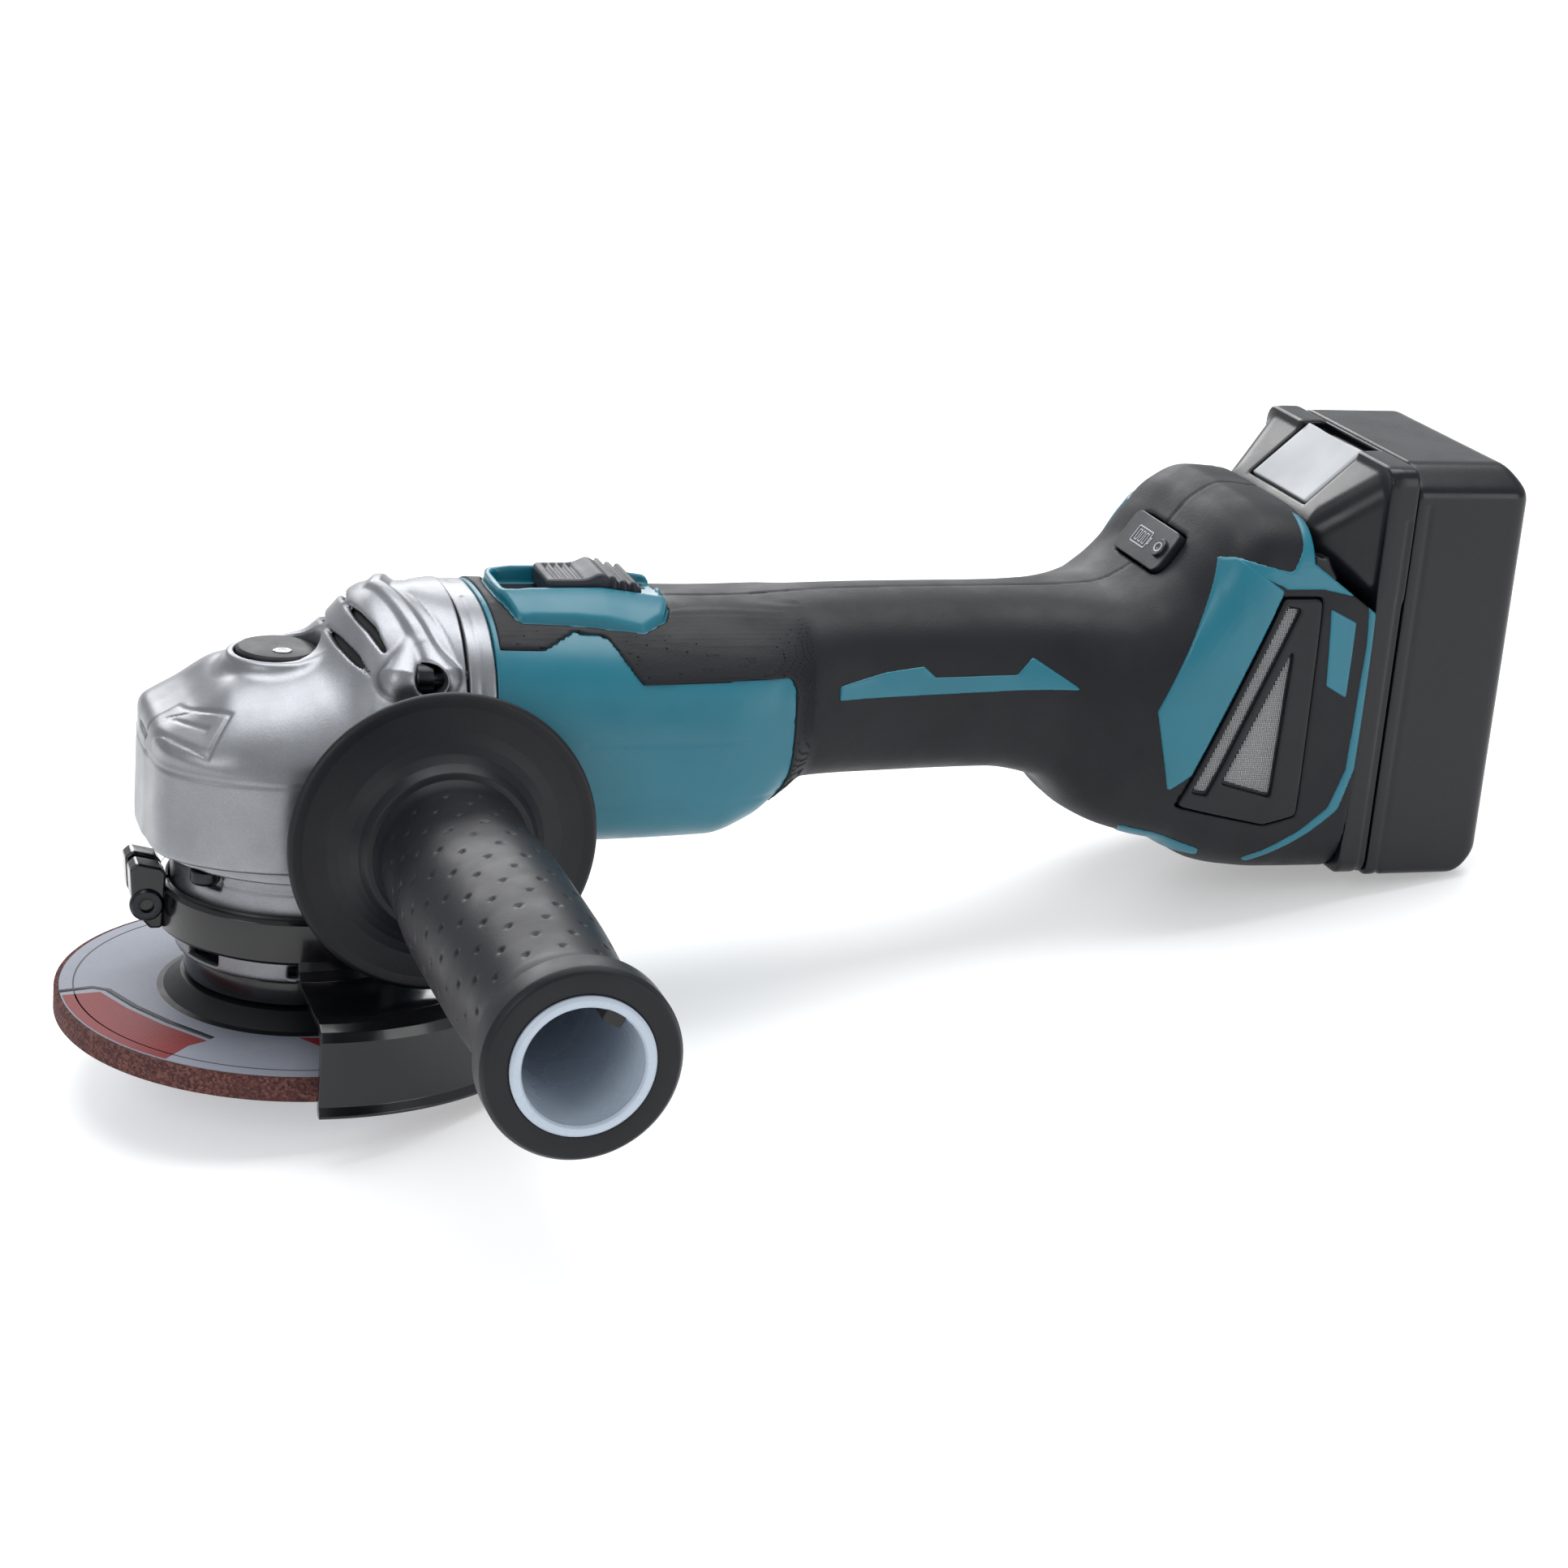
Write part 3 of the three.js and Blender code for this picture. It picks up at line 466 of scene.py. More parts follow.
def capsule(g, p, q, r, r2=None):
    """A rod with round ends from p to q, tapering to r2."""
    p, q = np.array(p, float), np.array(q, float)
    e = q - p
    w = [g.X - p[0], g.Y - p[1], g.Z - p[2]]
    t = np.clip((w[0] * e[0] + w[1] * e[1] + w[2] * e[2]) / (e @ e), 0, 1)
    d = np.sqrt(sum((w[i] - e[i] * t) ** 2 for i in range(3)))
    return d - (r + ((r2 if r2 is not None else r) - r) * t)


def bar(a, b, c, r, lo, hi):
    """A rod of radius r across the plane of a and b, and between lo and hi along c."""
    return maximum(np.sqrt(a ** 2 + b ** 2) - r, slab(c, lo, hi))


def curve(xs, ys):
    """Smooth interpolation that never overshoots its points."""
    x, y = np.array(xs, float), np.array(ys, float)
    h, d = np.diff(x), np.diff(y) / np.diff(x)
    m = np.zeros_like(y)
    m[0], m[-1] = d[0], d[-1]
    for i in range(1, len(x) - 1):
        if d[i - 1] * d[i] > 0:
            a, b = 2 * h[i] + h[i - 1], h[i] + 2 * h[i - 1]
            m[i] = (a + b) / (a / d[i - 1] + b / d[i])

    def at(v):
        v = np.clip(v, x[0], x[-1])
        i = np.clip(np.searchsorted(x, v) - 1, 0, len(h) - 1)
        t = (v - x[i]) / h[i]
        return (y[i] * (1 + 2 * t) * (1 - t) ** 2 + h[i] * m[i] * t * (1 - t) ** 2 + y[i + 1] * t * t * (3
            - 2 * t) + h[i] * m[i + 1] * t * t * (t - 1)).astype(np.float32)
    return at


def sample(f, g, p):
    """Values of a grid at points given in cells."""
    i = np.clip(p.astype(int), 0, np.array(g.shape) - 2)
    t = p - i
    out = 0
    for c in range(8):
        o = np.array([c >> 2 & 1, c >> 1 & 1, c & 1])
        w = np.prod(np.where(o, t, 1 - t), axis=1)
        out = out + w * f[i[:, 0] + o[0], i[:, 1] + o[1], i[:, 2] + o[2]]
    return out


def skin(g, f):
    """(verts, faces, normals) of the surface where f is zero, one vertex in each crossed cell."""
    f = np.array(np.broadcast_to(f, g.shape), np.float32)
    f[[0, -1]] = 1.0
    f[:, [0, -1]] = 1.0
    f[:, :, [0, -1]] = 1.0
    s = f < 0
    total = sum(s[a:s.shape[0] - 1 + a, b:s.shape[1] - 1 + b, c:s.shape[2] - 1 + c].astype(np.uint8)
        for a in (0, 1) for b in (0, 1) for c in (0, 1))
    mixed = (total > 0) & (total < 8)
    cells = np.argwhere(mixed)
    index = np.full(mixed.shape, -1, np.int64)
    index[mixed] = np.arange(len(cells))
    acc, count = np.zeros((len(cells), 3)), np.zeros(len(cells))
    corners = [np.array([c >> 2 & 1, c >> 1 & 1, c & 1]) for c in range(8)]
    for a in corners:
        for axis in range(3):
            if a[axis]:
                continue
            b = a.copy()
            b[axis] = 1
            fa = f[tuple((cells + a).T)]
            fb = f[tuple((cells + b).T)]
            cross = (fa < 0) != (fb < 0)
            t = np.where(cross, fa / np.where(cross, fa - fb, 1), 0)
            acc += np.where(cross[:, None], a + t[:, None] * (b - a), 0)
            count += cross
    p = cells + acc / count[:, None]
    grad = np.gradient(f, g.step)
    for _ in range(2):
        n = np.stack([sample(c, g, p) for c in grad], 1)
        size = maximum((n ** 2).sum(1), 0.2)
        p = p - np.clip((sample(f, g, p) / size)[:, None] * n / g.step, -0.35, 0.35)
    n = np.stack([sample(c, g, p) for c in grad], 1)
    n /= maximum(np.linalg.norm(n, axis=1), 1e-6)[:, None]
    faces = []
    for axis in range(3):
        lo = [slice(1, -1)] * 3
        lo[axis] = slice(0, -1)
        hi = list(lo)
        hi[axis] = slice(1, None)
        here, there = s[tuple(lo)], s[tuple(hi)]
        for way in (0, 1):
            e = np.argwhere((here != there) & (here == bool(way))) + 1
            e[:, axis] -= 1
            u, v = np.eye(3, dtype=int)[(axis + 1) % 3], np.eye(3, dtype=int)[(axis + 2) % 3]
            quad = [e, e - u, e - u - v, e - v]
            q = np.stack([index[tuple(c.T)] for c in quad], 1)
            faces.append(q if way else q[:, ::-1])
    return p * g.step + g.lo, np.concatenate(faces), n


def carved(name, g, f, material, body="housing", mirror=False, replaces=()):
    v, q, n = skin(g, f)
    if mirror:
        flip = np.array([1, -1, 1])
        q = np.concatenate([q, q[:, ::-1] + len(v)])
        v, n = np.concatenate([v, v * flip]), np.concatenate([n, n * flip])
    return piece(name, v, q, material, body, normals=n, replaces=replaces)


# ---- gear case ----
AXIS_Z = 78.0
CASE = np.array([[-38.6, 14, 50.5, 72.5, 8, 74.6, 2.0], [-37.2, 19, 48.2, 73, 10, 76.4, 1.9],
    [-33.5, 24.5, 47.5, 72.6, 12, 78.2, 1.8], [-28, 29.5, 47.5, 72, 12, 81.2, 1.7], [-19, 34, 47.5, 71, 9.5,
    88.0, 1.6], [-8, 36.6, 47.5, 69.5, 10, 90.2, 1.6], [2, 37, 47.5, 69, 10, 92.4, 1.7],
    [12, 36.6, 47.5, 72, 7, 97, 1.8], [21, 36, 47.5, 76, 5, 103.5, 2.0], [33.2, 35, 47.5, 77, 5, 106.8, 2.2]])
CONE = [(-3, 9), (0, 14), (3, 18.2), (7, 23.2), (11.5, 28), (15, 29.9), (18, 30.3), (24, 30.0), (34, 29.2)]
SLOTS = [[(9.4, -1.6), (10.4, -9), (12.6, -16), (14.9, -22)], [(4.8, -2.6), (6.2, -11), (8.8, -18.4),
    (11.8, -24.2)]]
CASE_BACK = 33.2
BORE = 24.4
HANDLE_X, HANDLE_Z = 26.3, 58.3
BOX_SCREWS = ((-25.2, -20), (-25.2, 20), (24.4, -20), (24.4, 20))
BODY_SCREWS = ((112, 92, 24), (160, 85.5, 17), (200, 88, 22))
cone_radius = curve(*zip(*CONE))


def soft_step(v, width):
    """Climbs smoothly from 0 to 1 as v crosses zero."""
    return 0.5 + 0.5 * np.tanh(v / width)


def from_motor(g):
    """Distance from the motor's axis."""
    return np.sqrt(g.Y ** 2 + (g.Z - AXIS_Z) ** 2)


def gear_case():
    g = Grid((-41, -44.5, 46), (35, 44.5, 113), 0.5)
    half, shoulder, flat, top, power = (curve(CASE[:, 0], CASE[:, k])(g.X) for k in (1, 3, 4, 5, 6))
    y = np.abs(g.Y)
    a = (y - flat) / (half - flat)
    b = (g.Z - shoulder) / (top - shoulder)
    upper = (maximum(a, 0) ** power + maximum(b, 0) ** power) ** (1 / power) - 1
    case = g.metric(np.where(b > 0, upper, a - 1) * (half - flat))
    case = both(case, -38.6 - g.X, 4.2)
    case = both(case, 47.6 - g.Z, 1.2)
    r = from_motor(g)
    f = union(case, g.metric(maximum(r - cone_radius(g.X), -3 - g.X)), 6.0)
    # level ledge round the lock button
    near = np.sqrt((g.X + 6.5) ** 2 + g.Y ** 2)
    f = union(f, both(near - 12.2, g.Z - 91.9, 1.2), 4.0)
    # crest across the top, with a step down behind it
    behind = g.X - 16.4 - 0.31 * y
    above = soft_step(g.Z - 98, 3)
    f = f - 1.3 * ridge(behind, 2.1, 4) * above
    f = f + 0.45 * (soft_step(behind - 3.2, 0.3) - soft_step(behind - 7.6, 1.6)) * above
    f = f + 0.35 * ridge(behind - 6.2, 0.35) * above * soft_step(y - 5, 1)
    # screw bosses on both flanks and the handle bosses below them
    m = g.folded()
    boss = union(capsule(m, (22.8, -18.2, 102.4), (18.6, -26.8, 92.2), 1.0, 6.2),
        capsule(m, (24, -22.6, 99.4), (26.8, -28.6, 93), 2.4, 5.6), 1.2)
    f = union(f, boss, 1.0)
    f = minus(f, capsule(m, (24.0, -28.5, 93.5), (24.6, -42, 95.2), 3.7), 0.5)
    handle = both(np.sqrt((g.X - HANDLE_X) ** 2 + (g.Z - HANDLE_Z) ** 2) - 9.5, y - 41.4, 0.8)
    f = union(f, both(handle, 20 - y, 0.5), 2.5)
    f = minus(f, bar(g.X - HANDLE_X, g.Z - HANDLE_Z, y, 4.2, 25, 60), 0.6)
    # parting line and step that run round the wall
    wall = soft_step(16 - g.X, 1.5)
    f = f + 0.32 * ridge(g.Z - 69.6, 0.45) * wall
    f = f + 0.3 * soft_step(g.Z - 70.4, 0.35) * soft_step(73.2 - g.Z, 1.2) * wall
    # sunk frame and direction arrow on the nose
    rr, turn = np.sqrt(g.X ** 2 + g.Y ** 2), np.degrees(np.arctan2(-g.Y, -g.X))
    frame_line = np.abs(maximum(slab(rr, 30.6, 39.2), slab(turn, 8, 47) * 0.6)) - 0.35
    arc = maximum(np.abs(rr - 34.6) - 0.35, slab(turn, 18, 41) * 0.6)
    barb = maximum(np.abs(rr - 34.6 + (turn - 14) * 0.32) - 0.4, slab(turn, 14, 23) * 0.6)
    sunk = minimum(frame_line, minimum(arc, barb))
    f = f + 0.36 * np.clip(0.5 - sunk / 0.6, 0, 1) * soft_step(g.Z - 71.5, 0.6)
    # slots that let the motor's air out, cut square to the shoulder
    inner, wide = None, [0.55, 1.15, 1.2, 0.6]
    for path in SLOTS:
        for k in range(len(path) - 1):
            ends = []
            for x, across in path[k:k + 2]:
                r0 = float(cone_radius(np.array(x)))
                ends.append((x, across, AXIS_Z + math.sqrt(r0 * r0 - across * across)))
            for deep in (0, 1.6, 3.2):
                p, q = [tuple(np.array(e) + (deep * 0.75, 0, -deep * 0.66)) for e in ends]
                slot = capsule(m, p, q, wide[k], wide[k + 1])
                inner = slot if inner is None else minimum(inner, slot)
    before = f
    f = minus(f, inner, 0.35)
    # painted shade: a near-black plug sunk under the surface in each exhaust slot stands in for the shade in
    # its depths
    painted_slot_shade = both(inner - 0.25, before + 1.9, 0.2)
    f = minus(f, maximum(near - 10.3, 86.2 - g.Z), 0.4)
    f = minus(f, maximum(np.sqrt(g.X ** 2 + g.Y ** 2) - 23, slab(g.Z, 40, 74)), 0.3)
    f = minus(f, maximum(r - BORE, slab(g.X, 27.5, 50)), 0.3)
    f = both(f, g.X - CASE_BACK, 0.5)
    carved("gear_housing_cast", g, f, CAST, replaces=["gear_housing"])
    carved("exhaust_slot_painted_shade", g, painted_slot_shade, SHADOW)


gear_case()


def bearing_box():
    g = Grid((-38, -38, 16.4), (37, 38, 48), 0.5)
    r = np.sqrt(g.X ** 2 + g.Y ** 2)
    neck = outline2([(9, 24), (26, 24), (26.4, 17.2), (28.4, 17.2), (28.6, 17.6), (28.6, 22.4),
        (30.2, 23.6), (30.2, 45), (16.1, 45), (16.1, 36), (9, 36)], r, g.Z)
    plan = np.where(g.X < 1, np.sqrt(((g.X - 1) / 36.4) ** 2 + (g.Y / 34.5) ** 2) * 35 - 35,
        maximum(np.abs(g.Y) - 34.3, g.X - 32.6))
    plate = both(plan, slab(g.Z, 44, 47.3), 0.7)
    f = union(neck, minus(plate, r - 16.1, 0.1), 1.6)
    for x, y in BOX_SCREWS:
        d = np.sqrt((g.X - x) ** 2 + (g.Y - y) ** 2)
        f = minus(f, maximum(d - 4.1, slab(g.Z, 38.6, 43.9)), 0.4)
    turn = np.degrees(np.arctan2(g.Y, g.X))
    for k in range(6):
        off = (turn - 30 - 60 * k + 180) % 360 - 180
        f = minus(f, maximum(maximum(np.abs(off) * 0.48 - 5.6, np.abs(g.Z - 19.9) - 1.5), 24 - r), 0.4)
    f = f + 0.3 * ridge(g.Z - 40.4, 0.4) * (r > 28) * (g.X < 20)
    carved("bearing_box_cast", g, f, CAST, replaces=["bearing_box"])


bearing_box()
turned("spindle_bar", [(0, 0), (6.3, 0), (6.9, 0.8), (6.9, 17), (7.6, 17), (7.6, 35.6), (6, 35.6), (6, 74),
    (3.5, 74), (3.5, 85.2), (0, 85.2)], STEEL, "spindle_set", 64, 0.25, ["spindle"])


def on_axis(base, axis):
    """Moves a turned shape so that its Z runs along axis from base."""
    turn = np.array(Vector(axis).normalized().to_track_quat("Z", "Y").to_matrix())
    return lambda v: v @ turn.T + np.array(base, float)


def socket_screw(name, base, axis, r, tall, length, shank, node, body="housing", hexagon=1.7):
    """Cap screw: base is the middle of the head's outer face, axis points down the thread."""
    place = on_axis(base, axis)
    v, f = lathe([(0, 1.3), (hexagon, 1.3), (hexagon, 0), (r * 0.86, 0), (r, r * 0.22), (r, tall),
        (shank, tall), (shank, length), (0, length)], 36, 0.18)
    outward(piece(name, place(v), f, DARKSTEEL, body, sharp=35, replaces=[node]))


for k, (y, z) in enumerate(((-28.5, 93.5), (28.5, 93.5), (-14, 51.6), (14, 51.6))):
    socket_screw(f"case_screw_{k + 1}", (20.6, y, z), (1, 0, 0), 3.5, 4.4, 22.6, 2,
        f"gear_housing_screw_{k + 1}")
for k, (x, y) in enumerate(BOX_SCREWS):
    socket_screw(f"box_screw_{k + 1}", (x, y, 40.6), (0, 0, 1), 3.6, 3.3, 14.8, 1.9,
        f"bearing_box_screw_{k + 1}")
for k, (x, z, y) in enumerate(BODY_SCREWS):
    socket_screw(f"body_screw_{k + 1}", (x, y + 2.3, z), (0, -1, 0), 3.1, 2.2, 14, 1.5,
        f"housing_screw_{k + 1}", hexagon=1.2)

lo, hi = spot("shaft_lock_button")
cap = hi[2]
turned("lock_button", [(0, cap - 1.4), (3.9, cap - 1.4), (3.9, cap - 3), (9.9, cap - 3), (9.9, cap - 1.0),
    (9.2, cap - 0.35), (4, cap - 0.1), (0, cap)], DARK, "shaft_lock", 72, 0.3, ["shaft_lock_button"],
    lambda v: v + np.array([(lo[0] + hi[0]) / 2, 0, 0]))
turned("lock_button_rivet", [(0, -0.4), (1.9, -0.4), (1.9, 0.12), (1.5, 0.3), (0.9, 0.3), (0.7, 0.05),
    (0, 0.05)], STEEL, "shaft_lock", 32, 0.06, (), lambda v: v * [1.25, 0.9, 1] + np.array([-6.0, -4.4,
    cap - 0.1]))


# ---- wheel, flange, nut ----
INK_LOW, INK_HIGH = 5.02, 5.14


def wheel():
    lo, hi = spot("grinding_wheel")
    r, low = float(hi[0]), float(lo[2])
    turned("wheel_grit", [(11.2, 3.4), (21, 3.4), (27, low), (r, low), (r, 4.9), (31.4, 4.9), (26.8, 9.0),
        (11.2, 9.0)], GRIT, "spindle_set", 180, 0.35, ["grinding_wheel"])
    turned("wheel_raised_centre", [(11.2, 8.6), (26.6, 8.6), (30.6, 4.8), (33, 4.7), (32.6, 5.1), (31, 5.5),
        (27, 9.35), (11.2, 9.35)], DARK, "spindle_set", 120, 0.3)
    turned("wheel_label_top", [(31.6, 4.8), (r - 1.2, 4.8), (r - 1.3, 5.1), (31.8, 5.1)], PAPER,
        "spindle_set", 180, 0.05)
    turned("wheel_label_below", [(28, low - 0.12), (r - 3, low - 0.12), (r - 3, low + 0.2),
        (28, low + 0.2)], PAPER, "spindle_set", 180, 0.03)

    def ribbon(name, points, width, material):
        pts = [np.array(p, float) for p in points]
        v, f = [], []
        for i, p in enumerate(pts):
            a, b = pts[max(i - 1, 0)], pts[min(i + 1, len(pts) - 1)]
            n = np.array([-(b - a)[1], (b - a)[0]]) / np.linalg.norm(b - a) * width / 2
            v += [(*(p + n), INK_HIGH + 0.02), (*(p - n), INK_HIGH + 0.02)]
        f = [(2 * i, 2 * i + 1, 2 * i + 3, 2 * i + 2) for i in range(len(pts) - 1)]
        thickened(piece(name, v, f, material, "spindle_set"), 0.1, -1)

    def rim(a0, a1, rr, n=24):
        return [(rr * math.cos(rad(a0 + (a1 - a0) * i / n)), rr * math.sin(rad(a0 + (a1 - a0) * i / n)))
            for i in range(n + 1)]
    for k, turn in enumerate((0, 180)):
        c, s = math.cos(rad(turn)), math.sin(rad(turn))
        spin = lambda pts: [(x * c - y * s, x * s + y * c) for x, y in pts]
        red = rim(181, 229, r - 1.6) + [(-30.2, -35), (-25.5, -32.6), (-34.6, -21.5), (-41.6, -10.4),
            (-46.6, 0.2)]
        prism(f"wheel_label_panel_{k + 1}", spin(red), INK_LOW, INK_HIGH, "z", RED, "spindle_set", 0)
        ribbon(f"wheel_label_line_{k + 1}", spin([(-56.3, 1.6), (-48, 3.4), (-44.6, 1.4), (-39.5, -9.6),
            (-32.6, -20.4), (-24, -31.2)]), 1.7, CHARCOAL)
        tip = [(-3.6, -33), (0, -33.6), (8, -34), (6, -42), (1.4, -40)]
        prism(f"wheel_label_wedge_{k + 1}", spin(tip), INK_LOW, INK_HIGH, "z", RED, "spindle_set", 0)
    turned("wheel_label_ring", [(52.6, INK_LOW), (53.0, INK_LOW), (53.0, INK_HIGH), (52.6, INK_HIGH)],
        CHARCOAL, "spindle_set", 180, 0)
    turned("wheel_collar", [(11, 9.2), (14.6, 9.2), (14.6, 9.7), (11, 9.7)], STEEL, "spindle_set", 72, 0.1)


wheel()
turned("inner_flange_disc", [(6.96, 5.2), (11, 5.2), (11, 9.4), (24, 9.4), (26.2, 10.4), (26.2, 16.4),
    (22, 16.6), (6.96, 16.6)], GLOSS, "spindle_set", 120, 0.5, ["inner_flange"])


def lock_nut():
    g = Grid((-20, -20, -0.6), (20, 20, 4), 0.32)
    r = np.sqrt(g.X ** 2 + g.Y ** 2)
    f = outline2([(6.96, 0.3), (17.8, 0.3), (18.8, 1.2), (18.8, 3.1), (6.96, 3.1)], r, g.Z)
    for k in range(4):
        t = rad(45 + 90 * k)
        f = minus(f, np.sqrt((g.X - 13.5 * math.cos(t)) ** 2 + (g.Y - 13.5 * math.sin(t)) ** 2) - 1.9
            + 0 * g.Z, 0.3)
    f = f + 0.35 * ridge(r - 9.6, 0.5) * (g.Z < 1)
    carved("lock_nut_disc", g, f, DARKSTEEL, "spindle_set", replaces=["lock_nut"])


lock_nut()


# ---- wheel guard ----
def guard():
    v, f = lathe([(31, 18.8), (60.5, 18.8), (63.0, 16.6), (63.2, 15.6), (63.2, -0.2), (64.3, -1.6),
        (66.2, -1.6), (66.3, -0.9), (65, 0.9), (65, 17.0), (64, 19.3), (61.6, 20.5), (58.4, 20.6),
        (57.4, 20.2), (38.5, 20.2), (36.6, 20.6), (34.6, 22.6), (33.8, 25), (31, 25)], 200, 0.5)

    def halved(bm):
        geom = bm.verts[:] + bm.edges[:] + bm.faces[:]
        cut = bmesh.ops.bisect_plane(bm, geom=geom, plane_co=(-4.5 * MM, 0, 0), plane_no=(-1, 0, 0),
            clear_outer=True)
        edges = [e for e in cut["geom_cut"] if isinstance(e, bmesh.types.BMEdge)]
        bmesh.ops.holes_fill(bm, edges=edges, sides=0)

    def split(bm):
        gone = [q for q in bm.faces if q.calc_center_median().x < 0
            and abs(q.calc_center_median().y) < 1.2 * MM]
        bmesh.ops.delete(bm, geom=gone, context="FACES")
        bmesh.ops.holes_fill(bm, edges=[e for e in bm.edges if e.is_boundary], sides=0)
    o = outward(piece("guard_hood", v, f, GLOSS, "guard", sharp=35, replaces=["wheel_guard"]), halved)
    o.data.set_sharp_from_angle(angle=rad(35))
    softened(o, 0.25, 2, 50)
    v, f = lathe([(30.6, 23.6), (33.2, 23.6), (33.8, 24.4), (33.8, 33.8), (33.0, 34.8), (31.2, 34.9),
        (30.6, 34.4)], 160, 0.35)
    o = outward(piece("guard_band", v, f, GLOSS, "guard", sharp=35), split)
    o.data.set_sharp_from_angle(angle=rad(35))
    for k, (y0, y1) in enumerate(((-7.5, -1.3), (1.3, 7.5))):
        prism(f"guard_lug_{k + 1}", [(-33, 24.2), (-32.4, 38), (-33.6, 39.6), (-39.4, 41), (-41.2, 39.4),
            (-40.6, 32), (-38.4, 27), (-36, 24.2)], y0, y1, "y", GLOSS, "guard", 0.7, fillet=1.2)
    socket_screw("clamp_screw", (-37, -8.6, 30.5), (0, 1, 0), 4.1, 2.2, 18, 2, "guard_clamp_screw",
        "guard_clamp")


guard()


# ---- plastic housing ----
BODY = np.array([[40.3, 46.5, 107, 34.8, 2.5], [60, 46, 106.2, 35.2, 2.5], [98, 47, 104.7, 35, 2.5],
    [108, 51, 104.9, 33.8, 2.5], [116, 57, 105.4, 30.5, 2.5], [124, 60.8, 106.0, 25.6, 2.4],
    [140, 61.4, 106.7, 23.4, 2.4], [174, 62.2, 107.1, 23.2, 2.4], [188, 60, 107.3, 24.8, 2.6],
    [197, 52, 107.6, 29, 3], [204, 49, 108.3, 33, 3.4], [211, 47.6, 111.3, 36, 3.8],
    [217, 46.6, 116.2, 37.6, 4], [223, 43.4, 124.4, 38.3, 4.2], [229, 40.6, 131.4, 38.6, 4.4],
    [236, 39.3, 134.6, 38.6, 4.6], [246, 38.8, 133.6, 38.6, 5], [264.5, 38.6, 131, 38.6, 5]])
REAR_X = 264.5
PANEL_TILT, PANEL_X, PANEL_Z = rad(-55.5), 219.1, 118.4


def section(g, low, high, half, power):
    """A rounded section between two heights, measured by how far out it is from the outer skin."""
    across, tall = np.abs(g.Y) / half, np.abs(g.Z - (low + high) / 2) / ((high - low) / 2)
    return g.metric(((across ** power + tall ** power) ** (1 / power) - 1) * 30)


def body_field(g):
    return section(g, *(curve(BODY[:, 0], BODY[:, k])(g.X) for k in range(1, 5)))


ROOM = [[246.9, 200], [246.9, 123.6], [REAR_X + 0.1, 111.2], [300, 111.2], [300, 200]]
VENT = [[216.4, 60], [240.8, 54.8], [249.6, 57.2], [249.2, 115.4], [238.4, 115.4]]
MOTOR_TEAL = filleted([(30, 99.6), (52.8, 99.4), (60.4, 102.4), (68.6, 101.4), (75.9, 91.9), (113.6, 92.9),
    (115.1, 90), (115.4, 67), (113.5, 58), (108, 51.5), (103, 47), (99, 38), (30, 38)], 1.4, 4)
BEZEL_BASE = [(44.2, 0), (44.6, -7.5), (47.2, -18.4), (48.6, -19.4), (62, -19.8), (78.5, -21.4),
    (84.6, -17), (87, -11), (88, 0)]
BEZEL_BASE = BEZEL_BASE + [(x, -y) for x, y in BEZEL_BASE[-2:0:-1]]


def on_panel(g):
    """Coordinates along, across and out of the sloping battery gauge."""
    c, s = math.cos(PANEL_TILT), math.sin(PANEL_TILT)
    dx, dz = g.X - PANEL_X, g.Z - PANEL_Z
    return dx * c - dz * s, g.Y + 0 * g.X, dx * s + dz * c


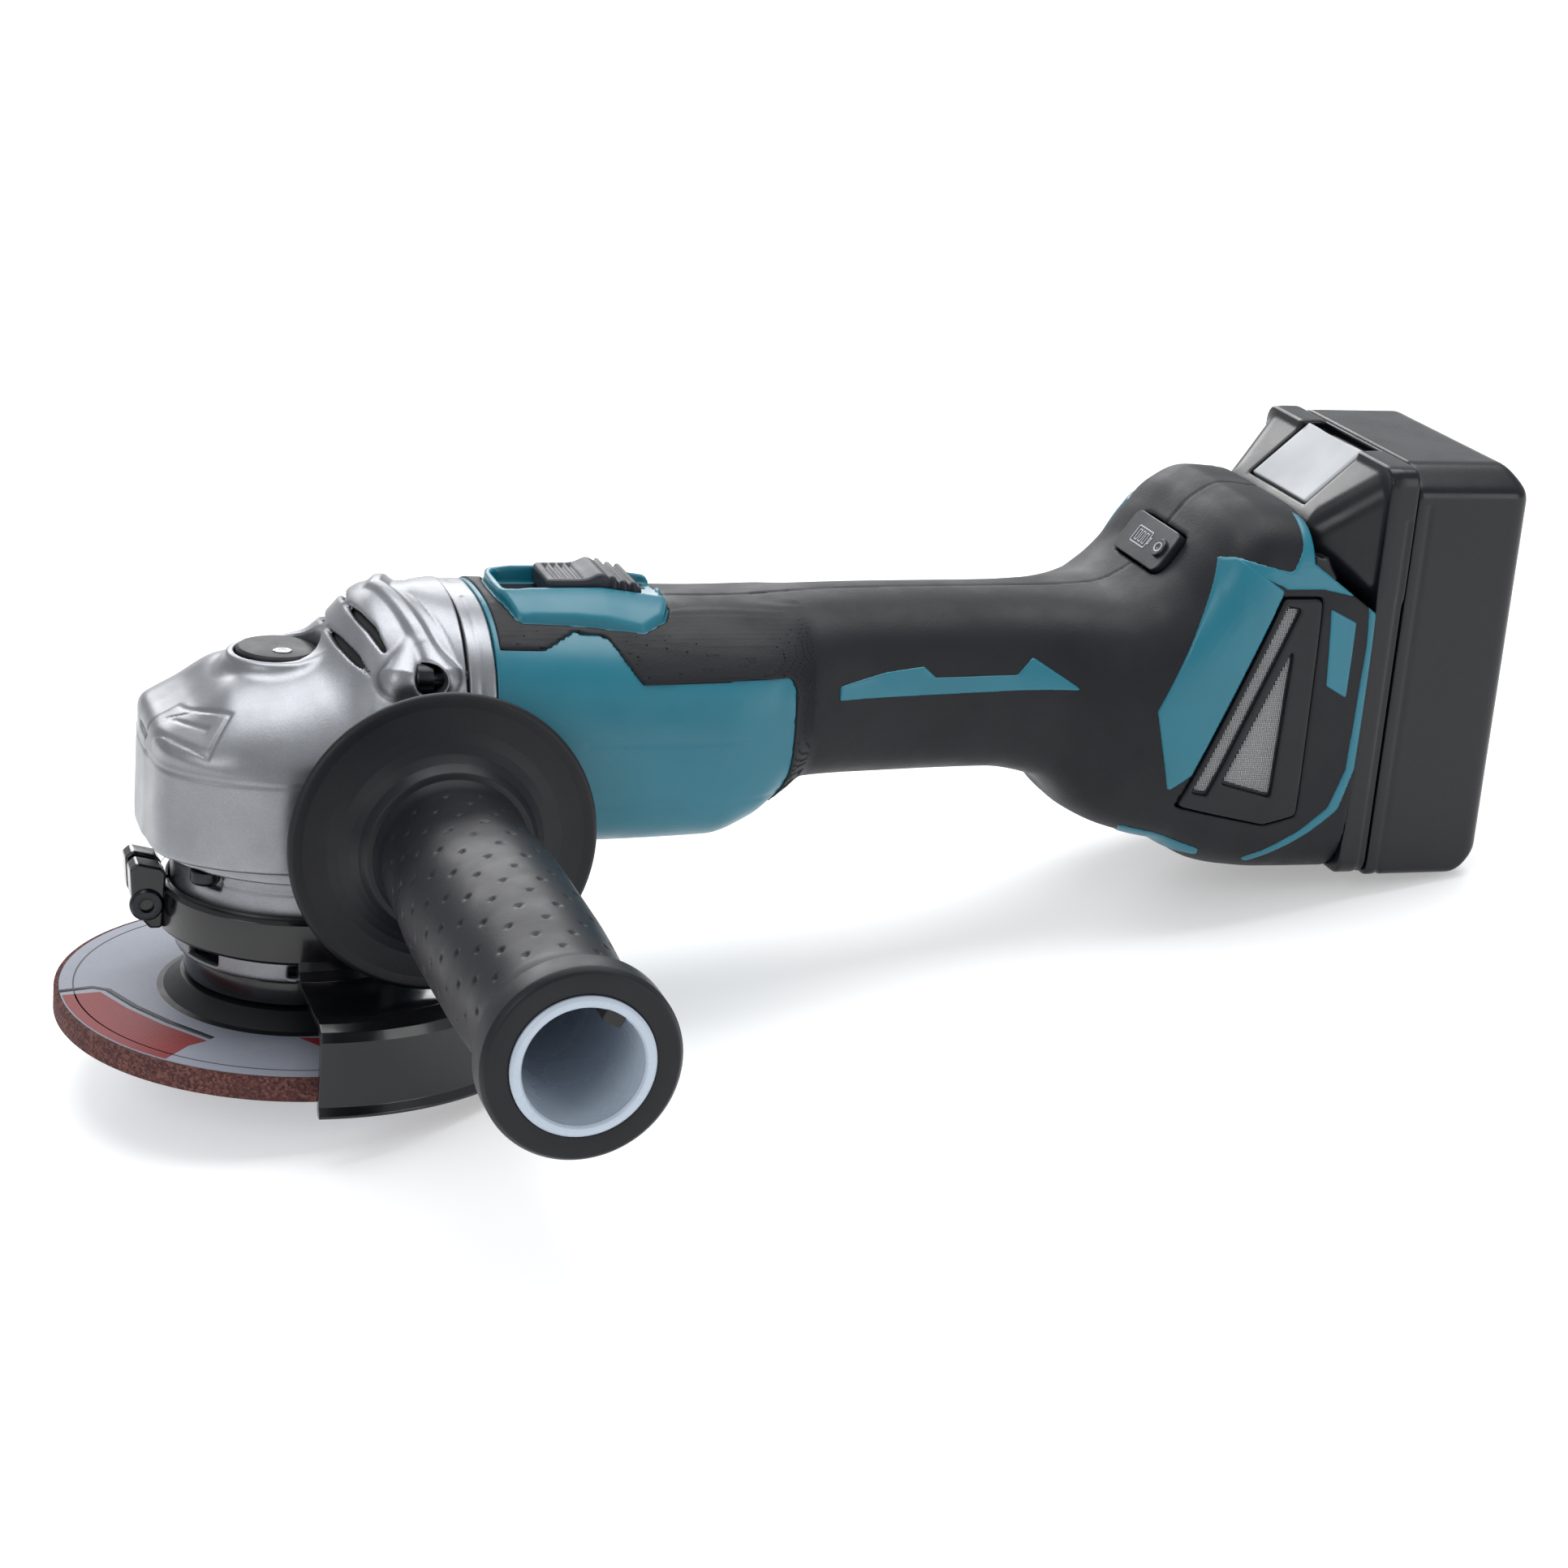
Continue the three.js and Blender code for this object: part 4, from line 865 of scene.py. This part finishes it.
def housing():
    g = Grid((39, -42, 33), (267, 42, 138), 0.7)
    body = body_field(g)
    teal = minimum(side(g, MOTOR_TEAL), g.X - 41.4)
    bezel = maximum(outline2(BEZEL_BASE, g.X, g.Y + 0 * g.X), 92 - g.Z)
    f = body - 0.75
    f = minus(f, maximum(teal, -(body + 3)), 0.5)
    f = minus(f, bezel, 0.5)
    # parting line between the two halves
    y = np.abs(g.Y)
    f = f + 0.35 * ridge(g.Y, 0.45) * (g.X > 89)
    hollow = maximum(maximum(body + 2.3, g.X - 243.6), 46 - g.X)
    f = minus(f, hollow, 0.3)
    f = minus(f, maximum(body + 0.2, g.X - 121), 0.2)
    cuts = maximum(side(g, ROOM), y - 50)
    for cut in (((249.9, 290), 29.5, (44, 140)), ((242, 252), 14.4, (49.6, 70.4)),
            ((246.9, 255), 12.6, (111.6, 140))):
        cuts = minimum(cuts, block(g, *cut))
    f = minus(f, cuts, 0.3)
    u, v, w = on_panel(g)
    q = maximum(np.abs(u) - 6.4 + 3, 0) ** 2 + maximum(np.abs(v) - 14.2 + 3, 0) ** 2
    f = minus(f, maximum(np.sqrt(q) - 3, np.abs(w) - 2.6), 0.4)
    f = minus(f, maximum(side(g, VENT), 34.6 - y), 0.5)
    for x, z, depth in BODY_SCREWS:
        f = minus(f, bar(g.X - x, g.Z - z, g.Y, 3.5, depth, 60), 0.5)
    f = maximum(f, g.X - REAR_X)
    for rail in ((-30, -26.3), (26.3, 30)):
        f = minimum(f, block(g, (257.9, 262), rail, (46, 111)))
    carved("housing_overmould", g, f, RUBBER, replaces=["housing_left", "housing_right"])
    # teal motor shell under the overmould, with the switch bezel on its crown
    g = Grid((39.4, -39, 42), (122, 39, 118), 0.6)
    body = body_field(g)
    f = body - 0.25
    f = maximum(f, g.X - 120)
    crease = ridge(g.Z - 62 - (g.X - 60) * 0.01, 0.7) + ridge(g.Z - 78.5, 0.7) * (g.X > 62)
    f = f + 0.22 * crease * (g.X > 44) * (g.X < 114)
    y = np.abs(g.Y)
    crown = 110.4 - 0.22 * maximum(y - 9.6, 0) - 0.026 * maximum(y - 9.6, 0) ** 2
    crown = crown - 0.15 * maximum(g.X - 70, 0) - 0.12 * maximum(52 - g.X, 0)
    plan = outline2(BEZEL_BASE, g.X, g.Y + 0 * g.X) + 0.35
    top = both(both(maximum(g.metric(g.Z - crown), 100 - g.Z), plan, 1.2), -(body + 4), 0.1)
    f = union(f, top, 0.2)
    slot = np.sqrt(maximum(np.abs(g.X - 66.8) - 17.4, 0) ** 2 + maximum(y - 6.4, 0) ** 2) - 2.6
    f = minus(f, maximum(slot - 0.12 * maximum(g.Z - 106.4, 0), 106.0 - g.Z), 0.8)
    f = minus(f, block(g, (54, 82), 3.4, (95, 120)), 0.1)
    f = minus(f, maximum(body + 2.4, 46 - g.X), 0.3)
    f = minus(f, maximum(from_motor(g) - BORE, g.X - 50), 0.3)
    f = maximum(f, 40.3 - g.X)
    carved("motor_shell_teal", g, f, TEAL)
    # flange ring between the alloy and the plastic
    g = Grid((33, -37, 44), (40.6, 37, 112), 0.45)
    f = section(g, *BODY[0, 1:]) - 0.3
    f = both(f, slab(g.X, 33.55, 40.1), 0.45)
    f = f + 0.3 * ridge(g.X - 36.4, 0.32) * (g.Z > 84) * (np.abs(g.Y) > 6)
    f = minus(f, maximum(from_motor(g) - BORE, -1), 0.3)
    carved("flange_ring_cast", g, f, CAST, replaces=["housing_flange_ring"])


housing()


def inlay(name, outline, box, height, material, inner, step, round_, edge=0.5, extra=None):
    """A raised area on both flanks, following the housing, with an outline in the side view."""
    (x0, x1), (z0, z1) = box
    g = Grid((x0, -42, z0), (x1, -14, z1), step)
    body = body_field(g)
    f = both(body - height, side(g, outline, round_), edge)
    f = maximum(f, -(body - inner))
    if extra:
        f = extra(g, f, body)
    return carved(name, g, f, material, mirror=True)


inlay("grip_inlay_teal", [(128.3, 85.4), (128.2, 89.1), (141, 92.3), (150.6, 93.5), (153.8, 90.8),
    (175.4, 91.2), (179.4, 95.6), (192.6, 87.8)], ((126, 195), (83, 98)), 1.1, TEAL, 0.2, 0.4, 0.7)
inlay("foot_stripe_teal", [(208.9, 85.1), (213.7, 64.1), (219.2, 68.6), (238.6, 117), (226.8, 124.5),
    (223.6, 123.4)], ((206, 241), (61, 127)), 1.15, TEAL, 0.2, 0.45, 0.8)
inlay("foot_label_teal", [(251.6, 112.6), (259.2, 109.0), (259.0, 89.0), (252.9, 92.4)],
    ((249, 262), (86, 115)), 1.1, TEAL, 0.2, 0.4, 0.5)


def vent():
    def windows(g, f, body):
        slit = side(g, [(219.6, 64.2), (223.8, 63.4), (243.4, 112.6), (239.6, 113.4)], 0.6, 2)
        tri = side(g, [(227.0, 66.8), (241.4, 62.8), (242.6, 103.6)], 0.8)
        return minus(f, maximum(minimum(slit, tri), -(body - 0.1)), 0.5)
    o = inlay("vent_covers_black", [(216.6, 60.4), (240.6, 55.2), (249.4, 57.6), (249.0, 115.0),
        (238.6, 115.0)], ((214, 252), (53, 118)), 1.5, DARK, -3.0, 0.42, 1.6, 0.9, windows)
    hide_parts("vent_cover_left", "vent_cover_right")
    inlay("vent_mesh_strips", [(220.2, 65), (223.6, 64.3), (242.9, 112.4), (239.8, 113)],
        ((218, 245), (62, 115)), 0.55, MESH, -0.6, 0.45, 0.4, 0.3)
    inlay("vent_mesh_triangles", [(227.8, 67.4), (241.0, 63.6), (242.2, 101.6)], ((225, 245), (61, 105)),
        0.55, MESH, -0.6, 0.45, 0.5, 0.3)


vent()


def raised(body, d):
    """A band that stands proud of the housing inside an outline."""
    return both(both(body - 1.05, d, 0.5), -(body - 0.1), 0.1)


def foot_rim():
    """Teal band along the rear edge of the foot, with a branch that climbs to the hump."""
    g = Grid((214, -42, 34), (266.5, 0, 138), 0.55)
    band = [(264.9, 127), (258, 130.5), (251, 128), (250.6, 126), (256.5, 122), (258.6, 117.5),
        (262.2, 113), (262.6, 103), (261.6, 70), (258.2, 59.6), (251.6, 53.4), (243, 47.4), (238, 44.5),
        (240, 43), (250, 49.2), (254.6, 52.6), (261.2, 58.6), (264.3, 70), (264.9, 103)]
    branch = [(239, 117.2), (249.4, 117.2), (262, 114.6), (264.6, 113.4), (264.6, 117.6), (257, 121.2),
        (250.4, 124), (247.8, 127), (246.6, 133), (244.4, 134), (243.6, 127), (240.6, 121.6),
        (226.8, 124.6), (226.4, 122), (238, 118)]
    f = raised(body_field(g), minimum(side(g, band, 1.0, 2), side(g, branch, 1.2, 2)))
    f = minus(f, maximum(side(g, ROOM), -50 - g.Y), 0.2)
    f = maximum(f, g.X - REAR_X)
    carved("foot_rim_teal", g, f, TEAL, mirror=True)
    g = Grid((203, -42, 36), (232, 0, 60), 0.5)
    keel = side(g, [(205.4, 52.4), (214, 51.2), (226.4, 47.2), (227.4, 44.6), (219, 44), (209, 47.6)], 0.8)
    f = maximum(raised(body_field(g), keel), g.Y + 8)
    carved("foot_keel_teal", g, f, TEAL, mirror=True)


foot_rim()


def knob():
    lo, hi = spot("slide_switch_knob")
    g = Grid((lo[0] - 2, -10, 101), (hi[0] + 3, 10, 116), 0.4)
    y = np.abs(g.Y)
    top = 111.7 - 0.16 * maximum(g.X - 70, 0) + 1.5 * ridge(g.X - 70.6, 2.6)
    f = maximum(g.Z - top, 106.3 - g.Z)
    f = both(g.metric(f + 0 * y), y - 8.5, 1.2)
    f = both(f, slab(g.X, lo[0], hi[0]), 1.4)
    for x in (59.8, 61.8, 63.8, 65.8):
        f = f + 0.8 * ridge(g.X - x, 0.42) * (y < 6.8) * (g.Z > 108.6)
    for x in (73.6, 76.2, 78.8):
        f = f - 0.9 * ridge(g.X - x, 0.8, 4) * (g.Z > 107)
    f = minimum(f, block(g, (63.5, 73.5), 3, (102.4, 108.5)))
    carved("slide_knob_ribbed", g, f, KNOB, "switch", replaces=["slide_switch_knob"])
    track = [(48.4, -7.6), (85, -7.6), (85, -3.5), (53.9, -3.5), (53.9, 3.5), (85, 3.5), (85, 7.6),
        (48.4, 7.6)]
    prism("slide_track_plate", track, 105.2, 106.15, "z", DARK, bevel=0.1)


knob()


def panel_place(v):
    """Local X along the slope, Y across, Z out of it."""
    c, s = math.cos(PANEL_TILT), math.sin(PANEL_TILT)
    x, y, z = np.array(v, float).T
    return np.stack([x * c + z * s + PANEL_X, y, -x * s + z * c + PANEL_Z], 1)


def rounded_rect(hx, hy, r, n=5):
    out = []
    for q, (sx, sy) in enumerate(((1, 1), (-1, 1), (-1, -1), (1, -1))):
        for i in range(n + 1):
            t = rad(q * 90 + 90 * i / n)
            out.append((sx * (hx - r) + r * math.cos(t), sy * (hy - r) + r * math.sin(t)))
    return out


def gauge():
    prism("gauge_plate", rounded_rect(5.9, 13.6, 2.6), -0.6, 2.75, "z", PANEL, bevel=0.35,
        place=panel_place, replaces=["indicator_panel"])

    def border(name, hx, hy, cy, w, r=0.5):
        o, i = rounded_rect(hx, hy, r, 3), rounded_rect(hx - w, hy - w, max(r - w, 0.08), 3)
        n = len(o)
        v = [(x, y + cy, 2.78) for x, y in o + i]
        f = [(k, (k + 1) % n, n + (k + 1) % n, n + k) for k in range(n)]
        thickened(piece(name, panel_place(v), f, INK), 0.08, 1)
    border("gauge_icon_case", 2.5, 4.4, 2.8, 0.32)
    border("gauge_icon_cap", 1.0, 0.5, -2.0, 0.3, r=0.2)
    for k in range(3):
        border(f"gauge_icon_bar_{k + 1}", 1.6, 0.75, 0.6 + 2.15 * k, 0.26, r=0.15)
    turned("check_button_cap", [(0, 2.0), (2.55, 2.0), (2.55, 3.4), (2.3, 3.66), (1.2, 3.56), (0, 3.52)],
        PANEL, "check_key", 48, 0.12, ["check_button"], lambda v: panel_place(v + [0, -9, 0]))
    turned("check_button_mark", [(1.05, 3.52), (1.35, 3.52), (1.35, 3.68), (1.05, 3.64)], INK, "check_key",
        40, 0, (), lambda v: panel_place(v * [1, 1.35, 1] + [0, -9, 0]))


gauge()


# ---- battery ----
def battery():
    g = Grid((245.5, -39, 38), (274, 39, 150), 0.55)
    y = np.abs(g.Y)
    q = np.sqrt(maximum(y - 32.5, 0) ** 2 + maximum(np.abs(g.Z - 93.9) - 49.3, 0) ** 2) - 5
    slab_ = both(q, slab(g.X, 264.8, 272.35), 0.8)
    head = side(g, [(247.2, 129.9), (247.2, 124.2), (264.9, 112), (280, 112), (280, 148.2), (267.2, 148.2)])
    plan = outline2([(247.2, -60), (247.2, 25.5), (254.5, 29.8), (266.8, 37.4), (280, 37.4), (280, -60)],
        g.X, y + 0 * g.X)
    head = both(both(head, plan, 5.5), g.X - 272.35, 0.3)
    head = maximum(head, 112 - g.Z)
    f = union(slab_, head, 1.2)
    f = both(f, slab(g.Z, 39.7, 148.1), 1.0)
    tongue = minimum(block(g, (250.3, 257.5), 29.2, (45.2, 124), 0.5), block(g, (257.3, 265), 26,
        (45.2, 116), 0.5))
    slope = side(g, [(240, 40), (280, 40), (280, 116), (247.2, 124.6), (240, 124.6)])
    f = minimum(f, both(tongue, slope, 0.4))
    pocket = side(g, [(251.8, 133.2), (253.9, 131.6), (257.7, 131.6), (272, 145.4), (270.8, 152),
        (266.6, 152), (251.8, 136)])
    f = minus(f, maximum(pocket, y - 16.7), 0.5)
    for cut in (((252.6, 259.4), 12.4, (113.6, 134)), ((240, 253), 12.4, (113.6, 118.6)),
            ((249, 256), 15, (40, 96))):
        f = minus(f, block(g, *cut), 0.3)
    f = minus(f, block(g, (266.5, 303.5), 34.8, (43.6, 138.2)), 0.3)
    # raised bead down each flank beside the parting line
    f = f + 0.5 * ridge(g.X - 270.9, 0.55) * (g.Z < 135)
    carved("battery_front_shell", g, f, PACK, "battery", replaces=["battery_case_front"])
    lo, hi = spot("battery_case_rear")
    g = Grid((272, -39, 38), (306.5, 39, 150), 0.6)
    y = np.abs(g.Y)
    low, high, half, rear = float(lo[2]), float(hi[2]), float(hi[1]), float(hi[0])
    f = both(y - half, g.Z - high, 6.5)
    for cut, edge in ((low - g.Z, 3), ((y - half) * 0.62 + (g.Z - high) * 0.78 + 4.6, 1.5),
            (g.X - rear, 5.0), ((g.X - rear) * 0.72 + (low - g.Z) * 0.69 + 4.5, 1.6),
            ((g.X - rear) * 0.72 + (g.Z - high) * 0.69 + 3.6, 1.6), (272.75 - g.X, 0.7)):
        f = both(f, cut, edge)
    f = f + 0.45 * ridge(g.X - 276.4, 0.5) * (g.Z < 139)
    f = minus(f, block(g, (266.5, 303.3), 34.8, (43.6, 138.2)), 0.3)
    carved("battery_rear_shell", g, f, PACK, "battery", replaces=["battery_case_rear"])
    g = Grid((250.6, -17.4, 131), (270, 17.4, 149), 0.4)
    plate = side(g, [(252.2, 134.3), (254.0, 132.2), (268.6, 145.6), (266.8, 147.6)])
    y = np.abs(g.Y)
    dish = 0.28 * np.cos(np.clip(y / 16.2, 0, 1) * math.pi) * 0.5
    f = both(plate + dish * 0.6, y - 16.1, 1.0)
    carved("battery_latch_plate", g, f, LATCH, "battery_latch", replaces=["battery_latch_button"])
    for name, outline in (("stem", [(253.5, 114.1), (255.9, 114.1), (255.9, 133.6), (253.5, 133.6)]),
            ("tooth", [(247.7, 114.1), (253.9, 114.1), (253.9, 117.9), (249.6, 117.9)])):
        prism("battery_latch_" + name, outline, -12, 12, "y", LATCH, "battery_latch", 0.3)


battery()


# ---- side handle ----
def side_handle():
    lo, hi = spot("side_handle_grip")
    hx, hz, y0 = (lo[0] + hi[0]) / 2, (lo[2] + hi[2]) / 2, hi[1] + 0.6

    def place(v):
        x, y, z = np.asarray(v, float).T
        return np.stack([x + hx, y0 - z, y + hz], 1)
    turned("handle_flange", [(15, 1.4), (24, 0.6), (36, 1.6), (36.9, 2.6), (36.9, 3.6), (36, 4.4),
        (33.6, 4.1), (31, 4.2), (28, 4.6), (25.4, 5.5), (23.2, 6.9), (21.4, 8.8), (20, 11.5), (15, 12.5)],
        GRIP, "side_handle", 160, 0.9, ["side_handle_grip"], place, 75)
    s = np.arange(8.6, 124.4, 0.55)
    profile = curve([7, 8.4, 11, 16, 30, 50, 84, 108, 116, 122.6, 124.4], [21.4, 20.6, 18.9, 17.6, 18.2,
        19.2, 19.0, 17.9, 17.6, 18.8, 19.4])(s)
    n = 220
    a = np.arange(n) / n * 2 * math.pi
    S, A = np.meshgrid(s, a, indexing="ij")
    R = np.repeat(profile[:, None], n, 1).astype(float)
    pitch, columns = 7.2, 14
    row = np.round((S - 20) / pitch)
    ds = S - 20 - row * pitch
    turn = A / (2 * math.pi) * columns + 0.5 * (row % 2)
    da = (turn - np.round(turn)) / columns * 2 * math.pi * 18.5
    inside = (row >= 0) & (row <= 13)
    depth = 0.5 * np.exp(-((ds ** 2 + da ** 2) / 0.66 ** 2) ** 1.5)
    R = R - np.where(inside, depth, 0)
    P = np.stack([R * np.cos(A), R * np.sin(A), S], -1).reshape(-1, 3)
    m = len(s)
    faces = [(i * n + j, i * n + (j + 1) % n, (i + 1) * n + (j + 1) % n, (i + 1) * n + j)
        for i in range(m - 1) for j in range(n)]
    outward(piece("handle_dimpled_sleeve", place(P), faces, GRIP, "side_handle", sharp=60))
    turned("handle_end_ring", [(15, 122), (18.9, 122.2), (19.6, 124.2), (21.2, 127.4), (21.2, 133.6),
        (20.2, 135), (15, 135)], GRIP, "side_handle", 128, 1.0, (), place)
    turned("handle_core_tube", [(4.2, 0.4), (14.8, 0.4), (14.8, 135.5), (12.9, 135.5), (12.3, 60),
        (12.0, 24), (4.2, 24)], CORE, "side_handle", 128, 0.5, ["side_handle_core"], place)
    turned("handle_core_lip", [(13.0, 134.2), (15.3, 134.2), (15.3, 135.3), (14.6, 135.9), (13.3, 135.9),
        (12.8, 135.2)], CORE, "side_handle", 128, 0.35, (), place)
    turned("handle_threaded_stud", [(0, -17), (3.2, -17), (3.9, -16.2)] + [(3.9 - (0.28 if k % 2 else 0),
        -15.6 + k * 0.62) for k in range(26)] + [(3.9, 1), (3.9, 23), (0, 23)], STEEL, "side_handle", 48,
        0.05, ["side_handle_stud"], place)
    # painted shade: a near-black block set into the core tube's wall stands in for the shade inside its key
    # slot
    slot = rounded_rect(1.9, 2.3, 0.8, 3)
    at = rad(62)
    turn = np.array([[math.cos(at), -math.sin(at)], [math.sin(at), math.cos(at)]])
    prism("handle_core_key_slot_painted_shade", [turn @ (x + 12.2, z) for x, z in slot], 108, 135.6, "z", SHADOW,
        "side_handle", 0.2, place)


side_handle()

# ---- everything inside keeps its CAD shape ----
CELLS = [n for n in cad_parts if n.startswith("battery_cell")]
INNER = ((COPPER, ["motor_stator"]), (CELLWRAP, CELLS), (BOARD, ["controller_board"]),
    (DARKSTEEL, ["rotor_core"]), (DARK, ["switch_rod", "switch_unit", "terminal_block", "fan"]))
for node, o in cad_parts.items():
    o.data.materials.clear()
    o.data.materials.append(next((look for look, names in INNER if node in names), STEEL))

# ---- camera, floor and light ----
cam = bpy.data.objects.new("camera", bpy.data.cameras.new("camera"))
SCENE.collection.objects.link(cam)
cam.data.sensor_width, cam.data.lens = 36, 80.3
cam.data.clip_start, cam.data.clip_end = 0.05, 300
yaw, pitch, roll = 0.333, 0.320, 0.088
back = Vector((-math.sin(yaw) * math.cos(pitch), -math.cos(yaw) * math.cos(pitch), math.sin(pitch)))
right = (-back).cross(Vector((0, 0, 1))).normalized()
up = right.cross(-back)
cx, cy = math.cos(roll) * right + math.sin(roll) * up, -math.sin(roll) * right + math.cos(roll) * up
m = Matrix((cx, cy, back)).transposed().to_4x4()
m.translation = Vector((-0.1518, -0.7990, 0.3355))
cam.matrix_world = m
SCENE.camera = cam

# the tool lies on the rim of its guard and the foot of its battery, so the floor slopes
slope = (39.6 + 1.7) / (305 - 66.4)
normal = Vector((-slope, 0, 1)).normalized()
tilt = normal.to_track_quat("Z", "Y").to_matrix().to_4x4()
bpy.ops.mesh.primitive_plane_add(size=120)
floor = bpy.context.object
floor.name = "floor"
tilt.translation = Vector((0.0664, 0, -0.0018))
floor.matrix_world = tilt
paper = Look("floor_paper", 0.85, Specular_IOR_Level=0.2, Emission_Color=(1, 1, 1, 1), Emission_Strength=0.34)
paper.colour(paper.ramp(paper.noise(2, 3), [(0.3, 0.79), (0.7, 0.8)]))
floor.data.materials.append(paper.mat)

world = bpy.data.worlds.new("studio")
SCENE.world = world
world.use_nodes = True
sky = world.node_tree.nodes["Background"].inputs
sky["Color"].default_value = (0.95, 0.97, 1.0, 1)
sky["Strength"].default_value = 0.6


def softbox(name, place, size, power, target=(0.12, 0, 0.07)):
    lamp = bpy.data.lights.new(name, "AREA")
    lamp.shape, lamp.size, lamp.size_y = "RECTANGLE", size[0], size[1]
    lamp.energy = power
    o = bpy.data.objects.new(name, lamp)
    SCENE.collection.objects.link(o)
    o.location = place
    o.rotation_mode = "QUATERNION"
    o.rotation_quaternion = (Vector(target) - Vector(place)).to_track_quat("-Z", "Y")


softbox("overhead", (0.15, 0.25, 1.3), (1.5, 0.9), 17)
softbox("front_left", (-1.2, -0.9, 0.8), (0.6, 0.9), 5)
softbox("front_right", (0.95, -1.15, 0.5), (0.5, 0.8), 3)
softbox("back_rim", (0.2, 4.2, 1.9), (3.2, 1.3), 70)
SCENE.view_settings.view_transform = "Standard"
